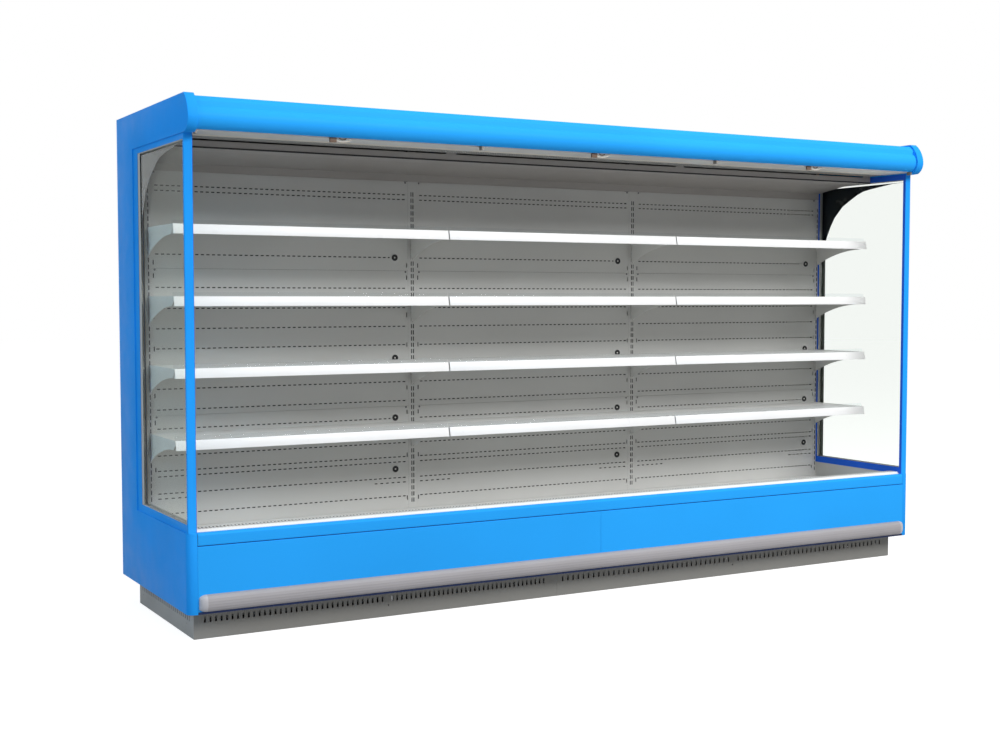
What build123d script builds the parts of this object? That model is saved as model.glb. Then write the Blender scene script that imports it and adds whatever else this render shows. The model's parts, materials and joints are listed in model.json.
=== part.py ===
from build123d import *
import math
import os

# Open multideck display fridge, three bays wide, with glazed end walls and night blinds.
# Millimetres. X runs along the cabinet, +Y to its back, +Z up, and the floor is Z = 0.
# Depths are given behind the front plane of the end posts, so what stands proud is negative.

# ---- cabinet -------------------------------------------------------------------------
BAYS = 3
BAY_WIDTH = 1250.0
END_WALL_THICKNESS = 40.0
HEIGHT = 2132.0
BODY_DEPTH = 960.0  # front plane of the posts to the back of the cabinet
BODY_BASE = 118.0  # underside of the insulated body
SHEET = 1.5  # gauge of the inner sheet metal
PANEL_SHEET = 2.0  # gauge of the outer panels
BEND = 3.0  # outer radius of a fold
FIT = 0.3  # clearance between pieces that sit in or beside each other
PIN_CLEARANCE = 0.05  # radial clearance of a running pin

# ---- canopy nose, which the end walls and the fascia share ------------------------------
NOSE_REACH = 80.0
NOSE_TOP_BACK = 28.0  # where the nose starts to curve down from the top
NOSE_SHOULDER = (58.0, 30.0)  # forward of the posts, below the top
NOSE_TIP_DROP = 86.0
NOSE_CHIN = (75.0, 118.0)
NOSE_LIP = (45.0, 148.0)
NOSE_UNDERSIDE_DROP = 150.0
FASCIA_INSET = 10.0  # the fascia stands this far inside the end walls' outline
FASCIA_LIP_END = 40.0  # where the fascia's lower lip stops, forward of the posts
FASCIA_BACK = 160.0

# ---- end walls ---------------------------------------------------------------------------
LOWER_FRONT = 12.0  # how far the lower front stands forward of the posts
LOWER_TOP = 438.0
END_CORNER_RADIUS = 30.0
RECESS = 6.5
RECESS_BACK = 712.0
WINDOW_FRONT = 14.0
WINDOW_BACK = 657.0
WINDOW_SILL = 31.0  # lower edge of the window above the lower front
WINDOW_HEAD = 172.0  # upper edge of the window below the top of the cabinet
SHELL = 3.5
PANE = 4.0
PANE_SPACE = 12.0
PANE_SETBACK = 2.5
SPACER_WIDTH = 12.0
INNER_FRAME_SHEET = 1.5
INNER_FRAME_FRONT = 0.5
INNER_FRAME_HEAD_GAP = 5.0  # below the soffit
SIGHT_FRONT = 16.0
SIGHT_BACK = 636.0
SIGHT_MARGIN = 3.0  # the inner frame's opening inside the window, below and above

# ---- insulated body ----------------------------------------------------------------------
TUB_FRONT = 4.0
TUB_WALL = 30.0
TUB_FLOOR = 165.0
BACK_WALL = 60.0
ROOF_FRONT = 150.0
ROOF_DROP = 57.0  # upper face of the roof below the top of the cabinet
ROOF_THICKNESS = 40.0
SUMP_WIDTH = 220.0
SUMP_LENGTH = 100.0
SUMP_DROP = 8.0
DRAIN_X = 300.0
DRAIN_BACK = 400.0
DRAIN_PIPE_RADIUS = 20.0
DRAIN_PIPE_WALL = 3.0
DRAIN_TRAP_LOW = 36.0
DRAIN_OUTLET_HEIGHT = 88.0
DRAIN_TRAP_WIDTH = 84.0
DRAIN_BEND = 24.0
DRAIN_OUTLET_BACK = 700.0
DRAIN_FLANGE = (34.0, 4.0)  # radius, thickness

# ---- lower front ---------------------------------------------------------------------------
PANEL_SEAM = 1.0
SILL_FACE = 50.0  # height of the sill's front face
SILL_GAP = 3.0  # groove between the sill and the front panels
SILL_ROUNDING = 12.0
SILL_BACK = 15.7
SILL_END_GAP = 2.0
BUMPER_BOTTOM = 128.0
BUMPER_TOP = 196.0
BUMPER_PROUD = 24.0
BUMPER_WALL = 3.0
BUMPER_ROUNDING = 20.0
BUMPER_CAP_ROUNDING = 12.0
BUMPER_END_GAP = 3.0
BUMPER_CAP = 30.0

# ---- base, kick plates and feet ------------------------------------------------------------
KICK_FRONT = 77.0
KICK_BACK = 860.0
KICK_END_INSET = 8.0  # behind the inner face of the end walls
KICK_FLOOR_GAP = 1.0
KICK_TOP_GAP = 0.5
KICK_JOINT_X = -180.0
KICK_JOINT_GAP = 0.6
KICK_SLOT = (8.0, 22.0)
KICK_SLOT_HEIGHT = 76.0
KICK_SLOTS_CLEAR = ((24.0, 27.0), (20.0, 59.0), (42.0, 24.0), (36.0, 41.0))  # of the cross members
KICK_FRONT_SLOTS = 35  # in each of the four front runs
KICK_SIDE_RUN = (130.0, 810.0)
KICK_SIDE_SLOTS = 26
KICK_SCREW_RADIUS = 3.0
KICK_SCREW_HEIGHT = 49.0
BASE_BOTTOM = 58.0
BASE_WALL = 3.0
CROSS_WIDTH = 40.0
CROSS_INNER_X = (-1021.0, -190.0, 830.0)
RAIL_FRONT = 170.0
RAIL_BACK = 800.0
FOOT_PAD = (24.0, 10.0)  # radius, thickness
FOOT_NECK = (17.0, 12.0)
FOOT_NECK_TAPER = 12.0  # degrees
FOOT_NUT = (13.8, 14.0)
FOOT_STEM_RADIUS = 8.0

# ---- air duct, deck and inner walls ----------------------------------------------------------
REAR_FACE = 648.0
REAR_FLANGE = 15.0
REAR_PANEL_TUCK = 12.0  # the rear panels reach this far below the deck
REAR_SEAMS = (846.0, 1478.0)
REAR_SEAM_GAP = 1.0
DECK_DROP = 76.0  # the deck below the sill
DECK_BACK = 645.0
DECK_BAY_GAP = 1.0
GRILLE_FOOT = 16.0
GRILLE_SHOULDER = 25.0
GRILLE_RISE = 10.0  # above the sill
GRILLE_BACK = 75.0
GRILLE_SHELF = 20.0
GRILLE_END_GAP = 2.3
SUPPORT_WIDTH = 40.0
SUPPORT_FRONT = 80.0
SUPPORT_BACK = 643.0
SUPPORT_FLANGE = 18.0
FAN_PLATE = 330.0
FAN_PLATE_FLANGE = 40.0
FAN_FLOOR_GAP = 2.0  # the guards above the floor of the tub
FAN_OPENING_RADIUS = 80.0
FAN_BLADE_RADIUS = 75.0
FAN_HUB_RADIUS = 25.0
FAN_HUB_LENGTH = 20.0
FAN_HUB_GAP = 2.5
FAN_BLADES = 5
FAN_BLADE_CHORD = 34.0
FAN_BLADE_SHEET = 2.0
FAN_BLADE_PITCH = 32.0
FAN_SHAFT_RADIUS = 3.0
FAN_SHAFT_ENGAGEMENT = 26.0
GUARD_THICKNESS = 4.0
GUARD_RADIUS = 95.0
GUARD_RING_WIDTH = 12.0
GUARD_RINGS = (48.0, 64.0)
GUARD_WIRE = 3.0
GUARD_SPOKE = 8.0
GUARD_SHAFT_GAP = 1.0
MOTOR_RADIUS = 34.0
MOTOR_LENGTH = 50.0
COIL_FRONT = 430.0
COIL_DEPTH = 190.0
COIL_HALF_LENGTH = 1650.0
COIL_ABOVE_FLOOR = 25.0
COIL_BELOW_PLATES = 10.0
COIL_PLATE_DECK_GAP = 17.0
COIL_PLATE_MARGIN = 5.0
COIL_TUBE_RADIUS = 7.0
COIL_ROWS = 3
COIL_ROW_PITCH = 44.0
COIL_STUB = 40.0
UPRIGHT_HALF_WIDTH = 22.0
UPRIGHT_DEPTH = 42.0
UPRIGHT_SHEET = 2.0
SLOT_SIZE = (4.5, 20.0)
SLOT_OFFSET = 5.0  # slot column to bay division
END_SLOT_INSET = 9.0
SLOT_FIRST = 400.0
SLOT_PITCH = 29.25
SLOT_HEAD_GAP = 50.0  # no slot is nearer to the top of the rear panels
SOCKET_INSET = 91.0
SOCKET_HEIGHTS = (551.0, 793.0, 1072.0, 1538.0)
SOCKET_PLATE = (25.0, 1.2)
SOCKET_RING = (15.0, 4.0)
SOCKET_BORE = (10.5, 3.0)
SCREW_INSET = 35.0
SCREW_BELOW_SEAM = 6.0
SCREW_HEAD = (4.5, 2.2)
CEILING_DROP = 33.0  # below the soffit
CEILING_FRONT = 256.0
CEILING_BREAK = 413.0
CEILING_FALL = 32.0  # from its break to its back
CEILING_BAND = 33.0  # upright band along its back
CEILING_END_GAP = 3.0
VALANCE_FRONT = 250.0
VALANCE_BELOW_CEILING = 4.0
VALANCE_SOFFIT_GAP = 6.0
VALANCE_LEDGE = 12.0
VALANCE_END_GAP = 5.0
VALANCE_TAB_WIDTH = 50.0
VALANCE_TAB_FLANGE = 36.0
SOFFIT_DROP = 142.0  # below the top of the cabinet
SOFFIT_FRONT = -14.0
SOFFIT_HEM = 15.0
HONEYCOMB_THICKNESS = 20.0
HONEYCOMB_END_GAP = 5.0
LAMP_FRONT = 98.0
LAMP_BACK = 142.0
LAMP_END_GAP = 35.0
LAMP_HEIGHT = 26.0
LAMP_FLANGE = 5.0

# ---- shelves ---------------------------------------------------------------------------------
TIERS = 4
TIER_SLOTS = 10  # slots between two tiers
LOWEST_HOOK_SLOT = 12
RAIL_BELOW_HOOK = 18.5  # underside of the shelf front below the upper hook's slot centre
SECOND_HOOK_SLOTS = 2  # the lower hook is this many slots further down
SHELF_FRONT = 281.5
SHELF_BACK = 640.0
SHELF_HEIGHT = 40.0
SHELF_SKIRT = 25.0
SHELF_BAY_GAP = 2.0
RAIL_BAY_GAP = 3.0  # price rails and front stops end short of their shelf
SHELF_END_INSET = 5.0
ARM_FRONT = 300.0
ARM_NOSE = (315.0, 0.0)
ARM_WAIST = (500.0, -25.0)
ARM_HEEL = -80.0
ARM_NOSE_HEIGHT = 12.0
ARM_PLATE = 3.0
HOOK_REACH = 8.0
HOOK_HEIGHT = 14.0
HOOK_THROAT = 0.4
HOOK_DROP = 5.0
PRICE_RAIL_FRONT = 267.0
PRICE_RAIL_TOP_FRONT = 278.0
PRICE_RAIL_BACK = 281.2
PRICE_RAIL_WALL = 2.0
STOP_FOOT = 285.0
STOP_LEAN = 7.0
STOP_HEIGHT = 17.0
STOP_THICKNESS = 3.0

# ---- night blinds ----------------------------------------------------------------------------
BLIND_PLANE = -27.5  # depth of the hanging cloth
BLIND_CLOTH = 0.5
BLIND_END_GAP = 25.0
ROLL_RADIUS = 23.8
ROLL_ABOVE_SOFFIT = 60.0
ROLL_TUBE_RADIUS = 17.0
ROLL_TUBE_EXTRA = 13.0
ROLL_PIN_RADIUS = 4.0
ROLL_PIN_END_GAP = 0.5
BRACKET_HALF_WIDTH = 4.0
BRACKET_BACK = 140.0
BRACKET_BELOW_SOFFIT = 12.0
BRACKET_FRONT = -60.0
BAR_RADIUS = 8.0
BAR_ABOVE_SOFFIT = 10.0
BAR_END_GAP = 20.0
BAR_WALL = 1.5
HANDLE_WIDTH = 80.0
HANDLE_DROP = 26.0
HANDLE_WIRE_RADIUS = 2.5
HANDLE_CORNER = 12.0
CATCH_WIDTH = 29.0
CATCH_HEIGHT = 18.0
CATCH_THICKNESS = 9.0

# ---- electrical box --------------------------------------------------------------------------
BOX_X = 1200.0
BOX_LENGTH = 320.0
BOX_FRONT = 500.0
BOX_DEPTH = 220.0
BOX_HEIGHT = 46.0
BOX_WALL = 2.0
BOX_LID = 2.0
GLAND_RADIUS = 10.0
GLAND_BORE_RADIUS = 5.0
GLAND_LENGTH = 16.0
SWITCH_X = 1330.0
SWITCH_WIDTH = 24.0
SWITCH_HEIGHT = 16.0
SWITCH_GAP = 0.4
SWITCH_END_GAP = 1.6
SWITCH_THROW = 16.0  # degrees from one side to the other
SWITCH_EDGE = 2.0
SWITCH_BACK = 2.5
SWITCH_BEZEL = 5.0
SWITCH_BEZEL_DEPTH = 12.0
SWITCH_PIN_RADIUS = 1.5
SWITCH_PIN_LENGTH = 2.0
SWITCH_PIN_DEPTH = 2.5

# ---- places worked out from the sizes above -----------------------------------------------------
INNER_HALF = BAYS * BAY_WIDTH / 2
OUTER_HALF = INNER_HALF + END_WALL_THICKNESS
BAY_X = [BAY_WIDTH * (i - (BAYS - 1) / 2) for i in range(BAYS)]
DIVISION_X = [BAY_WIDTH * (i - BAYS / 2) for i in range(BAYS + 1)]
DUCT_BACK = BODY_DEPTH - BACK_WALL
PANEL_BACK = -LOWER_FRONT
KICK_HALF = INNER_HALF - KICK_END_INSET
CROSS_END_X = KICK_HALF - PANEL_SHEET - CROSS_WIDTH / 2
CROSS_X = (-CROSS_END_X, *CROSS_INNER_X, CROSS_END_X)
KICK_SLOT_RUNS = [
    (left + after, right - before)
    for left, right, (after, before) in zip(CROSS_X, CROSS_X[1:], KICK_SLOTS_CLEAR)
]
ROOF_UNDERSIDE = HEIGHT - ROOF_DROP - ROOF_THICKNESS
SOFFIT_HEIGHT = HEIGHT - SOFFIT_DROP
CEILING_HEIGHT = SOFFIT_HEIGHT - CEILING_DROP
CEILING_BACK_HEIGHT = CEILING_HEIGHT - CEILING_FALL
REAR_TOP = CEILING_BACK_HEIGHT - CEILING_BAND
VALANCE_BOTTOM = CEILING_HEIGHT - VALANCE_BELOW_CEILING
VALANCE_TOP = SOFFIT_HEIGHT - VALANCE_SOFFIT_GAP
SILL_BOTTOM = LOWER_TOP - SILL_FACE
PANEL_TOP = SILL_BOTTOM - SILL_GAP
TUB_WALL_TOP = LOWER_TOP - PANEL_SHEET
GRILLE_TOP = LOWER_TOP + GRILLE_RISE
DECK_TOP = LOWER_TOP - DECK_DROP
REAR_PANEL_BOTTOM = DECK_TOP - REAR_PANEL_TUCK
COIL_BOTTOM = TUB_FLOOR + COIL_ABOVE_FLOOR
COIL_PLATE_TOP = DECK_TOP - COIL_PLATE_DECK_GAP
COIL_TOP = COIL_PLATE_TOP - COIL_BELOW_PLATES
WINDOW_BOTTOM = LOWER_TOP + WINDOW_SILL
WINDOW_TOP = HEIGHT - WINDOW_HEAD
SIGHT_BOTTOM = WINDOW_BOTTOM + SIGHT_MARGIN
SIGHT_TOP = WINDOW_TOP - SIGHT_MARGIN
INNER_FRAME_BOTTOM = LOWER_TOP + FIT
INNER_FRAME_TOP = SOFFIT_HEIGHT - INNER_FRAME_HEAD_GAP
SLOT_COUNT = int((REAR_TOP - SLOT_HEAD_GAP - SLOT_FIRST) / SLOT_PITCH) + 1
FAN_HEIGHT = TUB_FLOOR + FAN_FLOOR_GAP + GUARD_RADIUS
FAN_HUB_FRONT = FAN_PLATE + SHEET + FAN_HUB_GAP
GUARD_FRONT = FAN_PLATE - GUARD_THICKNESS
ROLL_DEPTH = BLIND_PLANE + BLIND_CLOTH / 2 + FIT + ROLL_RADIUS
ROLL_HEIGHT = SOFFIT_HEIGHT + ROLL_ABOVE_SOFFIT
BRACKET_FOOT = SOFFIT_HEIGHT - BRACKET_BELOW_SOFFIT
BAR_HEIGHT = SOFFIT_HEIGHT + BAR_ABOVE_SOFFIT
HOOK_SLOTS = [LOWEST_HOOK_SLOT + TIER_SLOTS * tier for tier in range(TIERS)]
RAIL_HEIGHTS = [SLOT_FIRST + SLOT_PITCH * slot - RAIL_BELOW_HOOK for slot in HOOK_SLOTS]


def side_plane(x):
    """The plane across the cabinet at x, drawn in (depth, height), facing +X."""
    return Plane(origin=(x, FRONT_Y, 0), x_dir=(0, 1, 0), z_dir=(1, 0, 0))


def front_plane(depth):
    """The upright plane at this depth, drawn in (x, height), facing the shopper."""
    return Plane(origin=(0, FRONT_Y + depth, 0), x_dir=(1, 0, 0), z_dir=(0, -1, 0))


def floor_plane(height):
    """The level plane at this height, drawn in (x, depth), facing up."""
    return Plane(origin=(0, FRONT_Y, height), x_dir=(1, 0, 0), z_dir=(0, 0, 1))


def block(x_range, depth_range, height_range):
    """A plain block between the given limits."""
    (x0, x1), (d0, d1), (h0, h1) = x_range, depth_range, height_range
    with BuildPart() as made:
        with BuildSketch(floor_plane(h0)):
            with Locations(((x0 + x1) / 2, (d0 + d1) / 2)):
                Rectangle(x1 - x0, d1 - d0)
        extrude(amount=h1 - h0)
    return made.part


def bar_of(points, x_range):
    """A bar whose section has these corners, in (depth, height)."""
    with BuildPart() as made:
        with BuildSketch(side_plane(x_range[0])):
            with BuildLine():
                Polyline(*points, close=True)
            make_face()
        extrude(amount=x_range[1] - x_range[0])
    return made.part


def folded(points, gauge, side, x_range, radius=BEND):
    """A folded sheet: the points run along its outer face, the gauge lies to one side."""
    with BuildPart() as made:
        with BuildSketch(side_plane(x_range[0])):
            with BuildLine():
                FilletPolyline(*points, radius=radius)
                offset(amount=gauge, side=side)
            make_face()
        extrude(amount=x_range[1] - x_range[0])
    return made.part


def nose_point(forward_and_drop):
    """A point of the nose outline, from its reach forward of the posts and drop from the top."""
    forward, drop = forward_and_drop
    return (-forward, HEIGHT - drop)


def nose_lines(back, bottom_points):
    """Draws the outline of the end wall's head, closed through the given lower points."""
    top = nose_point((NOSE_TOP_BACK, 0))
    tip = nose_point((NOSE_REACH, NOSE_TIP_DROP))
    lip = nose_point(NOSE_LIP)
    Polyline((back, HEIGHT), top)
    ThreePointArc(top, nose_point(NOSE_SHOULDER), tip)
    ThreePointArc(tip, nose_point(NOSE_CHIN), lip)
    Polyline(lip, *bottom_points, (back, HEIGHT))


def end_wall_outline():
    """The side outline of an end wall, nose included."""
    lower_corners = [
        (0, HEIGHT - NOSE_UNDERSIDE_DROP),
        (0, LOWER_TOP),
        (PANEL_BACK, LOWER_TOP),
        (PANEL_BACK, BODY_BASE),
        (BODY_DEPTH, BODY_BASE),
    ]
    with BuildSketch() as wall:
        with BuildLine():
            nose_lines(BODY_DEPTH, lower_corners)
        make_face()
    return wall.sketch


# The model's origin lies midway between the tip of the nose and the back of the cabinet.
outline_box = end_wall_outline().bounding_box()
FRONT_Y = -(outline_box.min.X + outline_box.max.X) / 2


def rectangle_between(low, high, mode=Mode.ADD):
    """A rectangle from its two opposite corners."""
    with Locations(((low[0] + high[0]) / 2, (low[1] + high[1]) / 2)):
        Rectangle(high[0] - low[0], high[1] - low[1], mode=mode)


def core_outline(clearance):
    """The foamed space of an end wall, seen from the side, drawn in by a clearance."""
    inset = SHELL + clearance
    with BuildSketch() as core:
        offset(end_wall_outline(), amount=-inset, kind=Kind.INTERSECTION)
        rectangle_between(
            (-NOSE_REACH, WINDOW_BOTTOM - inset),
            (WINDOW_BACK + inset, WINDOW_TOP + inset),
            mode=Mode.SUBTRACT,
        )
        rectangle_between(
            (PANEL_BACK, BODY_BASE),
            (PANEL_BACK + END_CORNER_RADIUS + clearance, LOWER_TOP),
            mode=Mode.SUBTRACT,
        )
    return core.sketch


def keep(part, label):
    """Names a finished piece and writes it."""
    part.label = label
    export_step(part, f"parts/{label}.step")


def keep_group(solids, label):
    """Names several alike pieces as one group and writes it."""
    keep(Compound(children=list(solids)), label)


os.makedirs("parts", exist_ok=True)

# ======================================================================================
# base frame, feet and kick plates
# ======================================================================================

base_front = KICK_FRONT + PANEL_SHEET
base_back = KICK_BACK


def ladder_outline(inset):
    """Cross members tied by two long rails, seen from above, all drawn in by an inset."""
    long_half = CROSS_X[-1] + CROSS_WIDTH / 2 - inset
    for rail in (RAIL_FRONT, RAIL_BACK):
        with Locations((0, rail)):
            Rectangle(2 * long_half, CROSS_WIDTH - 2 * inset)
    for x in CROSS_X:
        with Locations((x, (base_front + base_back) / 2)):
            Rectangle(CROSS_WIDTH - 2 * inset, base_back - base_front - 2 * inset)


with BuildPart() as base_frame:
    with BuildSketch(floor_plane(BASE_BOTTOM)):
        ladder_outline(0)
    extrude(amount=BODY_BASE - BASE_BOTTOM)
    with BuildSketch(floor_plane(BASE_BOTTOM)):
        ladder_outline(BASE_WALL)
    extrude(amount=BODY_BASE - BASE_BOTTOM - BASE_WALL, mode=Mode.SUBTRACT)
keep(base_frame.part, "base_frame")


def foot(x, depth):
    """A levelling foot: pad, neck, hexagon and threaded stem up into the base frame."""
    pad_top = FOOT_PAD[1]
    neck_top = pad_top + FOOT_NECK[1]
    stem_top = BODY_BASE - BASE_WALL
    with BuildPart() as made:
        with BuildSketch(floor_plane(0)):
            with Locations((x, depth)):
                Circle(FOOT_PAD[0])
        extrude(amount=pad_top)
        with BuildSketch(floor_plane(pad_top)):
            with Locations((x, depth)):
                Circle(FOOT_NECK[0])
        extrude(amount=FOOT_NECK[1], taper=FOOT_NECK_TAPER)
        with BuildSketch(floor_plane(neck_top)):
            with Locations((x, depth)):
                RegularPolygon(FOOT_NUT[0], 6)
        extrude(amount=FOOT_NUT[1])
        with BuildSketch(floor_plane(neck_top)):
            with Locations((x, depth)):
                Circle(FOOT_STEM_RADIUS)
        extrude(amount=stem_top - neck_top)
    return made.part


foot_limit = KICK_HALF - PANEL_SHEET - FOOT_PAD[0] - FIT
foot_x = [max(-foot_limit, min(foot_limit, x)) for x in CROSS_X]
keep_group([foot(x, depth) for x in foot_x for depth in (RAIL_FRONT, RAIL_BACK)], "levelling_feet")


def slot_centres(run, count):
    """Even slot positions along a run, with its two ends included."""
    return [run[0] + (run[1] - run[0]) * i / (count - 1) for i in range(count)]


def kick_plate(plane, along, slots, screws):
    """A kick plate drawn on its plane, with its row of slots and its screw holes."""
    with BuildPart() as made:
        with BuildSketch(plane):
            rectangle_between((along[0], KICK_FLOOR_GAP), (along[1], BODY_BASE - KICK_TOP_GAP))
            with Locations(*[(place, KICK_SLOT_HEIGHT) for place in slots]):
                Rectangle(*KICK_SLOT, mode=Mode.SUBTRACT)
            with Locations(*[(place, KICK_SCREW_HEIGHT) for place in screws]):
                Circle(KICK_SCREW_RADIUS, mode=Mode.SUBTRACT)
        extrude(amount=PANEL_SHEET)
    return made.part


kick_ends = [(-KICK_HALF, KICK_JOINT_X - KICK_JOINT_GAP / 2)]
kick_ends.append((KICK_JOINT_X + KICK_JOINT_GAP / 2, KICK_HALF))
front_slots = [slot_centres(run, KICK_FRONT_SLOTS) for run in KICK_SLOT_RUNS]
keep_group(
    [
        kick_plate(front_plane(base_front), kick_ends[0], front_slots[0] + front_slots[1], CROSS_X[1:2]),
        kick_plate(front_plane(base_front), kick_ends[1], front_slots[2] + front_slots[3], CROSS_X[3:4]),
    ],
    "kick_plates_front",
)

side_along = (base_front, KICK_BACK)
side_slots = slot_centres(KICK_SIDE_RUN, KICK_SIDE_SLOTS)
side_screws = (RAIL_FRONT, RAIL_BACK)
keep_group(
    [
        kick_plate(side_plane(-KICK_HALF), side_along, side_slots, side_screws),
        kick_plate(side_plane(KICK_HALF - PANEL_SHEET), side_along, side_slots, side_screws),
    ],
    "kick_plates_side",
)

# ======================================================================================
# insulated body
# ======================================================================================

with BuildPart() as cabinet_tub:
    with BuildSketch(side_plane(-INNER_HALF)):
        with BuildLine():
            Polyline(
                (TUB_FRONT, BODY_BASE),
                (DUCT_BACK, BODY_BASE),
                (DUCT_BACK, TUB_FLOOR),
                (TUB_FRONT + TUB_WALL, TUB_FLOOR),
                (TUB_FRONT + TUB_WALL, TUB_WALL_TOP),
                (TUB_FRONT, TUB_WALL_TOP),
                close=True,
            )
        make_face()
    extrude(amount=2 * INNER_HALF)
    with BuildSketch(floor_plane(TUB_FLOOR - SUMP_DROP)):
        with Locations((DRAIN_X, DRAIN_BACK)):
            Rectangle(SUMP_WIDTH, SUMP_LENGTH)
    extrude(amount=SUMP_DROP, mode=Mode.SUBTRACT)
    with BuildSketch(floor_plane(BODY_BASE)):
        with Locations((DRAIN_X, DRAIN_BACK)):
            Circle(DRAIN_PIPE_RADIUS + FIT)
    extrude(amount=TUB_FLOOR - BODY_BASE, mode=Mode.SUBTRACT)
keep(cabinet_tub.part, "cabinet_tub")

keep(block((-INNER_HALF, INNER_HALF), (DUCT_BACK, BODY_DEPTH), (BODY_BASE, ROOF_UNDERSIDE)), "back_wall")
roof_top = ROOF_UNDERSIDE + ROOF_THICKNESS
keep(block((-INNER_HALF, INNER_HALF), (ROOF_FRONT, BODY_DEPTH), (ROOF_UNDERSIDE, roof_top)), "roof_panel")

# The drain falls through the tub floor into a water trap and leaves towards the back.
trap_path_points = [
    (DRAIN_X, FRONT_Y + DRAIN_BACK, TUB_FLOOR - SUMP_DROP),
    (DRAIN_X, FRONT_Y + DRAIN_BACK, DRAIN_TRAP_LOW),
    (DRAIN_X + DRAIN_TRAP_WIDTH, FRONT_Y + DRAIN_BACK, DRAIN_TRAP_LOW),
    (DRAIN_X + DRAIN_TRAP_WIDTH, FRONT_Y + DRAIN_BACK, DRAIN_OUTLET_HEIGHT),
    (DRAIN_X + DRAIN_TRAP_WIDTH, FRONT_Y + DRAIN_OUTLET_BACK, DRAIN_OUTLET_HEIGHT),
]
with BuildPart() as drain_trap:
    with BuildLine() as trap_path:
        FilletPolyline(*trap_path_points, radius=DRAIN_BEND)
    with BuildSketch(floor_plane(TUB_FLOOR - SUMP_DROP)):
        with Locations((DRAIN_X, DRAIN_BACK)):
            Circle(DRAIN_PIPE_RADIUS)
            Circle(DRAIN_PIPE_RADIUS - DRAIN_PIPE_WALL, mode=Mode.SUBTRACT)
    sweep(path=trap_path.line)
    with BuildSketch(floor_plane(TUB_FLOOR - SUMP_DROP)):
        with Locations((DRAIN_X, DRAIN_BACK)):
            Circle(DRAIN_FLANGE[0])
            Circle(DRAIN_PIPE_RADIUS - DRAIN_PIPE_WALL, mode=Mode.SUBTRACT)
    extrude(amount=DRAIN_FLANGE[1])
keep(drain_trap.part, "drain_trap")

# ======================================================================================
# end walls: moulded shell, foamed core, double glazing and inner frame
# ======================================================================================

with BuildPart() as end_wall_right:
    with BuildSketch(side_plane(INNER_HALF)):
        add(end_wall_outline())
    extrude(amount=END_WALL_THICKNESS)
    with BuildSketch(floor_plane(BODY_BASE)):
        rectangle_between(
            (OUTER_HALF - END_CORNER_RADIUS, PANEL_BACK), (OUTER_HALF, PANEL_BACK + END_CORNER_RADIUS)
        )
        with Locations((OUTER_HALF - END_CORNER_RADIUS, PANEL_BACK + END_CORNER_RADIUS)):
            Circle(END_CORNER_RADIUS, mode=Mode.SUBTRACT)
    extrude(amount=LOWER_TOP - BODY_BASE, mode=Mode.SUBTRACT)
    with BuildSketch(side_plane(OUTER_HALF - RECESS)):
        rectangle_between((-NOSE_REACH, LOWER_TOP), (RECESS_BACK, HEIGHT - NOSE_UNDERSIDE_DROP))
    extrude(amount=RECESS, mode=Mode.SUBTRACT)
    with BuildSketch(side_plane(INNER_HALF)):
        rectangle_between((WINDOW_FRONT, WINDOW_BOTTOM), (WINDOW_BACK, WINDOW_TOP))
    extrude(amount=END_WALL_THICKNESS, mode=Mode.SUBTRACT)
    with BuildSketch(side_plane(INNER_HALF)):
        add(core_outline(0))
    extrude(amount=END_WALL_THICKNESS - RECESS - SHELL, mode=Mode.SUBTRACT)
keep(end_wall_right.part, "end_wall_right")

with BuildPart() as core_right:
    with BuildSketch(side_plane(INNER_HALF)):
        add(core_outline(FIT))
    extrude(amount=END_WALL_THICKNESS - RECESS - SHELL - FIT)

glass_low = (WINDOW_FRONT + FIT, WINDOW_BOTTOM + FIT)
glass_high = (WINDOW_BACK - FIT, WINDOW_TOP - FIT)
outer_pane_face = OUTER_HALF - RECESS - PANE_SETBACK
outer_pane_back = outer_pane_face - PANE
inner_pane_face = outer_pane_back - PANE_SPACE
inner_pane_back = inner_pane_face - PANE


def pane(x_back):
    """One sheet of glass whose inner side lies at x_back."""
    with BuildPart() as made:
        with BuildSketch(side_plane(x_back)):
            rectangle_between(glass_low, glass_high)
        extrude(amount=PANE)
    return made.part


with BuildPart() as spacer_right:
    with BuildSketch(side_plane(inner_pane_face)):
        rectangle_between(glass_low, glass_high)
        rectangle_between(
            (glass_low[0] + SPACER_WIDTH, glass_low[1] + SPACER_WIDTH),
            (glass_high[0] - SPACER_WIDTH, glass_high[1] - SPACER_WIDTH),
            mode=Mode.SUBTRACT,
        )
    extrude(amount=PANE_SPACE)

glazing_right = [pane(outer_pane_back), spacer_right.part, pane(inner_pane_back)]

with BuildPart() as inner_frame_right:
    with BuildSketch(side_plane(INNER_HALF - INNER_FRAME_SHEET)):
        rectangle_between((INNER_FRAME_FRONT, INNER_FRAME_BOTTOM), (REAR_FACE - FIT, INNER_FRAME_TOP))
    extrude(amount=INNER_FRAME_SHEET)
    with BuildSketch(side_plane(INNER_HALF)):
        rectangle_between(glass_low, (REAR_FACE - FIT, glass_high[1]))
    extrude(amount=inner_pane_back - INNER_HALF)
    with BuildSketch(side_plane(INNER_HALF - INNER_FRAME_SHEET)):
        rectangle_between((SIGHT_FRONT, SIGHT_BOTTOM), (SIGHT_BACK, SIGHT_TOP))
    extrude(amount=END_WALL_THICKNESS, mode=Mode.SUBTRACT)


def both_sides(pieces):
    """The given right-hand pieces and their mirror images on the left."""
    return list(pieces) + mirrored(pieces)


def mirrored(pieces):
    """The mirror images of right-hand pieces, for the left-hand end."""
    copies = []
    for piece in pieces:
        with BuildPart() as made:
            mirror(piece, about=Plane.YZ)
        copies.append(made.part)
    return copies


keep(mirrored([end_wall_right.part])[0], "end_wall_left")
keep_group(both_sides([core_right.part]), "end_wall_cores")
keep_group(glazing_right, "end_glass_right")
keep_group(mirrored(glazing_right), "end_glass_left")
keep_group(both_sides([inner_frame_right.part]), "end_inner_frames")

# ======================================================================================
# lower front: panels, sill and bumper
# ======================================================================================


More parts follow.
